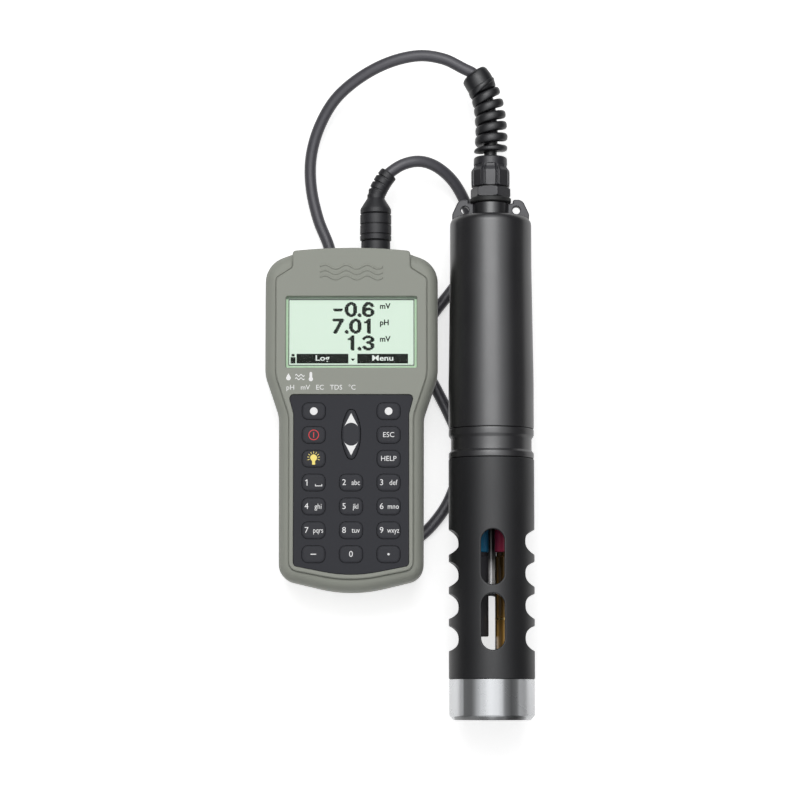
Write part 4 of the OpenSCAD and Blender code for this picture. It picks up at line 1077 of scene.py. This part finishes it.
def guard_tube():
    bm, facing, kind = guard_plate()
    rolled = []
    for vert in bm.verts:
        u, v, w = vert.co
        a = u / GUARD_R
        n = vert[facing].normalized() if vert[facing].length > 0 else Vector((0, 0, -1))
        on_wall = (cos(a) * n.x - sin(a) * n.z, sin(a) * n.x + cos(a) * n.z, n.y)
        rolled.append((on_wall, (sin(a), -cos(a), 0)))
        q = roll(u, w)
        r = GUARD_R - w
        vert.co = (r * sin(q), -r * cos(q), v)
    wall_normal = bm.verts.layers.float_vector.new("wall normal")
    face_normal = bm.verts.layers.float_vector.new("face normal")
    for vert, normals in zip(bm.verts, rolled):
        vert[wall_normal], vert[face_normal] = normals
    bmesh.ops.remove_doubles(bm, verts=bm.verts, dist=1e-4)
    for vert in bm.verts:
        vert.co = at_probe(vert.co) * MM
    bmesh.ops.recalc_face_normals(bm, faces=bm.faces)
    corner_normals = []
    for face in bm.faces:
        for loop in face.loops:
            out = loop.vert[face_normal]
            n = {OUTER: out, WALLS: loop.vert[wall_normal], INNER: -out}[face[kind]]
            corner_normals.append(Vector((n.x, n.z, -n.y)).normalized())
    mesh = bpy.data.meshes.new("guard_tube")
    bm.to_mesh(mesh)
    bm.free()
    mesh.shade_smooth()
    mesh.normals_split_custom_set(corner_normals)
    mesh.materials.append(shield_finish)
    obj = shown("guard_tube", mesh)
    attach(obj, "sensor_guard")
    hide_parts("shield")


guard_tube()

RING_R, RING_L = 22.85, 21.7
ring = [(19.2, 0), (20.45, 0), (20.7, 0.12), (22.2, 1.75), (22.55, 2.15), (RING_R, 2.8), (RING_R, 21.3),
    (22.75, 21.6), (22.45, RING_L), (20.35, RING_L), (20.35, 29.7), (18.4, 29.7), (18.4, 0.8)]
piece("steel_foot", turned(ring, 200), at_probe, steel_and_painted_reflections, "foot_steel", ["foot_ring"], 30,
    body="sensor_guard")

# ---- Sensors ----

STEM = [(7.4, 86.9), (7.0, 87.3), (6.6, 87.3), (6.6, 89.3), (5, 89.3), (5, 133), (0, 133)]
ec = [(3.2, 44.4), (7.0, 44.4), (7.4, 44.8)] + STEM[:-1]
ec_piece = new_object("ec_tube", turned(ec, 64, False), at_ec)
carve(ec_piece, cylinder(3.2, 43.4, 65.4), at_ec)
carve(ec_piece, cylinder(1.6, -20, 20), lambda p: at_probe((p[0] - SENSOR_X, p[2], 62 + p[1])))
dress(ec_piece, ec_finish, "ec_body", ["ec_sensor"])
ph = [(0, 30.6), (3.9, 30.6), (3.9, 33), (7.0, 33), (7.4, 33.4)] + STEM
piece("ph_tube", turned(ph, 64, False), at_ph, amber_with_painted_light, "ph_body", ["ph_sensor"])
piece("ph_bulb", turned(round_tip(4.1, 29.6, 120) + [(0, 31.6)], 48, False), at_ph, glass_finish, "ph_body")
band = [(7.35, 53.2), (7.48, 53.3), (7.48, 54.2), (7.35, 54.3)]
piece("ph_junction", turned(band, 64), at_ph, gold_finish, "ph_body")
sleeve = turned([(5.05, 89.35), (7.1, 89.35), (7.5, 89.75), (7.5, 126.4), (7.2, 126.8), (5.05, 126.8)], 64)
piece("ec_sleeve", sleeve, at_ec, blue_finish, "ec_collar", ["ec_collar"])
piece("ph_sleeve", sleeve, at_ph, red_finish, "ph_collar", ["ph_collar"])
rod = round_tip(2.8, 73.1, 90) + [(2.8, 133), (0, 133)]
piece("temperature_rod", turned(rod, 48, False), beside(0, TEMPERATURE_Y), rod_steel_and_painted_shade, "stainless_steel",
    ["temperature_sensor"])

# ---- Port cap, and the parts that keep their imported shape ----

grip = loft(rectangle(13.4, 8.4, 2.4), [(0.5, 91.6), (0, 92), (0, 92.9), (0.5, 93.4)], 6)
piece("port_cap", together([grip, round_slab(9.2, 4.4, 0.3, 88.7, 92, 2)]), at_port, seal_finish,
    "seal_rubber", ["usb_cap"], body="usb_cap")

PACKED = (
    (seal_finish, ("case_gasket", "dome_switches", "battery_gasket", "gland_seal", "housing_o_ring",
                   "shield_o_ring")),
    (bright_finish, ("case_screws", "battery_cover_screws", "battery_contacts", "usb_socket")),
    (board_finish, ("main_board", "probe_board")),
    (gold_finish, ("plug_pins", "sensor_sockets")),
    (case_finish, ("battery_cover",)),
    (cell_finish, ("batteries",)),
    (gland_finish, ("probe_socket",)),
)
for material, names in PACKED:
    for name in names:
        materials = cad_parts[name].data.materials
        materials.clear()
        materials.append(material)

# ---- Room, light and camera ----

EYE_LIFT = 0.62
AMBIENT = 0.27
MIRRORED_SKY = 1.6


def show_to_shiny(tree, output, plain, mirrored):
    """Shows one shader where a shiny piece mirrors it, and the plain one everywhere else."""
    mix = add(tree, "MixShader", {0: add(tree, "LightPath", out="Is Glossy Ray"), 1: plain, 2: mirrored})
    fill(tree, tree.nodes[output], {"Surface": mix})


def white_floor():
    """Matt white table: a little brighter to the eye, and mirrored by shiny pieces only where it is near."""
    mat = finish("floor_finish", (0.9, 0.9, 0.9), 0.8, 3, 0.02, mottle=0.01)
    tree = mat.node_tree
    lift = add(tree, "Math", {0: add(tree, "LightPath", out="Is Camera Ray"), 1: EYE_LIFT},
        operation="MULTIPLY")
    lifted = add(tree, "Emission", {"Strength": lift})
    plain = add(tree, "AddShader", {0: tree.nodes["Principled BSDF"].outputs[0], 1: lifted})
    away = add(tree, "VectorMath", {0: add(tree, "TexCoord", out="Object")}, "Value", operation="LENGTH")
    near = add(tree, "MapRange", {"Value": away, "From Min": 0.16, "From Max": 0.36, "To Min": 0.95,
        "To Max": 0.06}, interpolation_type="SMOOTHSTEP")
    show_to_shiny(tree, "Material Output", plain, add(tree, "Emission", {"Strength": near}))
    return mat


def room():
    mesh = bpy.data.meshes.new("floor")
    mesh.from_pydata([(-8, -8, 0), (8, -8, 0), (8, 8, 0), (-8, 8, 0)], [], [(0, 1, 2, 3)])
    mesh.materials.append(white_floor())
    shown("floor", mesh)


def lamp(name, place, size, power):
    """Soft rectangular lamp, turned to the middle of the instrument."""
    data = bpy.data.lights.new(name, "AREA")
    set_all(data, shape="RECTANGLE", size=size[0], size_y=size[1], energy=power)
    obj = shown(name, data)
    obj.location = place
    obj.rotation_euler = (-Vector(place)).to_track_quat("-Z", "Y").to_euler()


def sky():
    """White room; shiny pieces see a pale strip overhead with darker gaps beside it."""
    world = bpy.data.worlds.new("room")
    scene.world = world
    world.use_nodes = True
    tree = world.node_tree
    base = tree.nodes["Background"]
    fill(tree, base, {"Color": (1, 1, 1, 1), "Strength": AMBIENT})
    way = add(tree, "TexCoord", out="Generated")
    x, z = [add(tree, "SeparateXYZ", {0: way}, axis) for axis in "XZ"]
    tilt = add(tree, "Math", {0: x, 1: z}, operation="ARCTAN2")
    across = add(tree, "MapRange", {"Value": tilt, "From Min": -pi / 2, "From Max": pi / 2})
    steps = ((-90, 0.14), (-68, 0.05), (-54, 0.1), (-40, 0.42), (-24, 0.8), (-6, 1), (8, 1), (26, 0.8),
        (42, 0.42), (56, 0.1), (70, 0.05), (90, 0.14))
    strip = ramp(tree, across, [((a + 90) / 180, (v * 0.97, v * 0.985, v)) for a, v in steps])
    mirrored = add(tree, "Background", {"Color": strip, "Strength": MIRRORED_SKY})
    show_to_shiny(tree, "World Output", base.outputs[0], mirrored)


def camera():
    """Looks down on the instrument, a little from the side of its feet."""
    data = bpy.data.cameras.new("camera")
    set_all(data, lens=134.9, sensor_width=36, clip_end=50)
    obj = shown("camera", data)
    obj.location = (0.00025, -0.1736, 1.6367)
    obj.rotation_euler = (radians(5.8), 0, 0)
    scene.camera = obj


room()
lamp("key", (-0.05, 0.7, 1.4), (1.0, 0.7), 7)
lamp("top", (0, 0.1, 2.4), (1.6, 1.6), 11)
sky()
camera()
scene.view_settings.view_transform = "Standard"
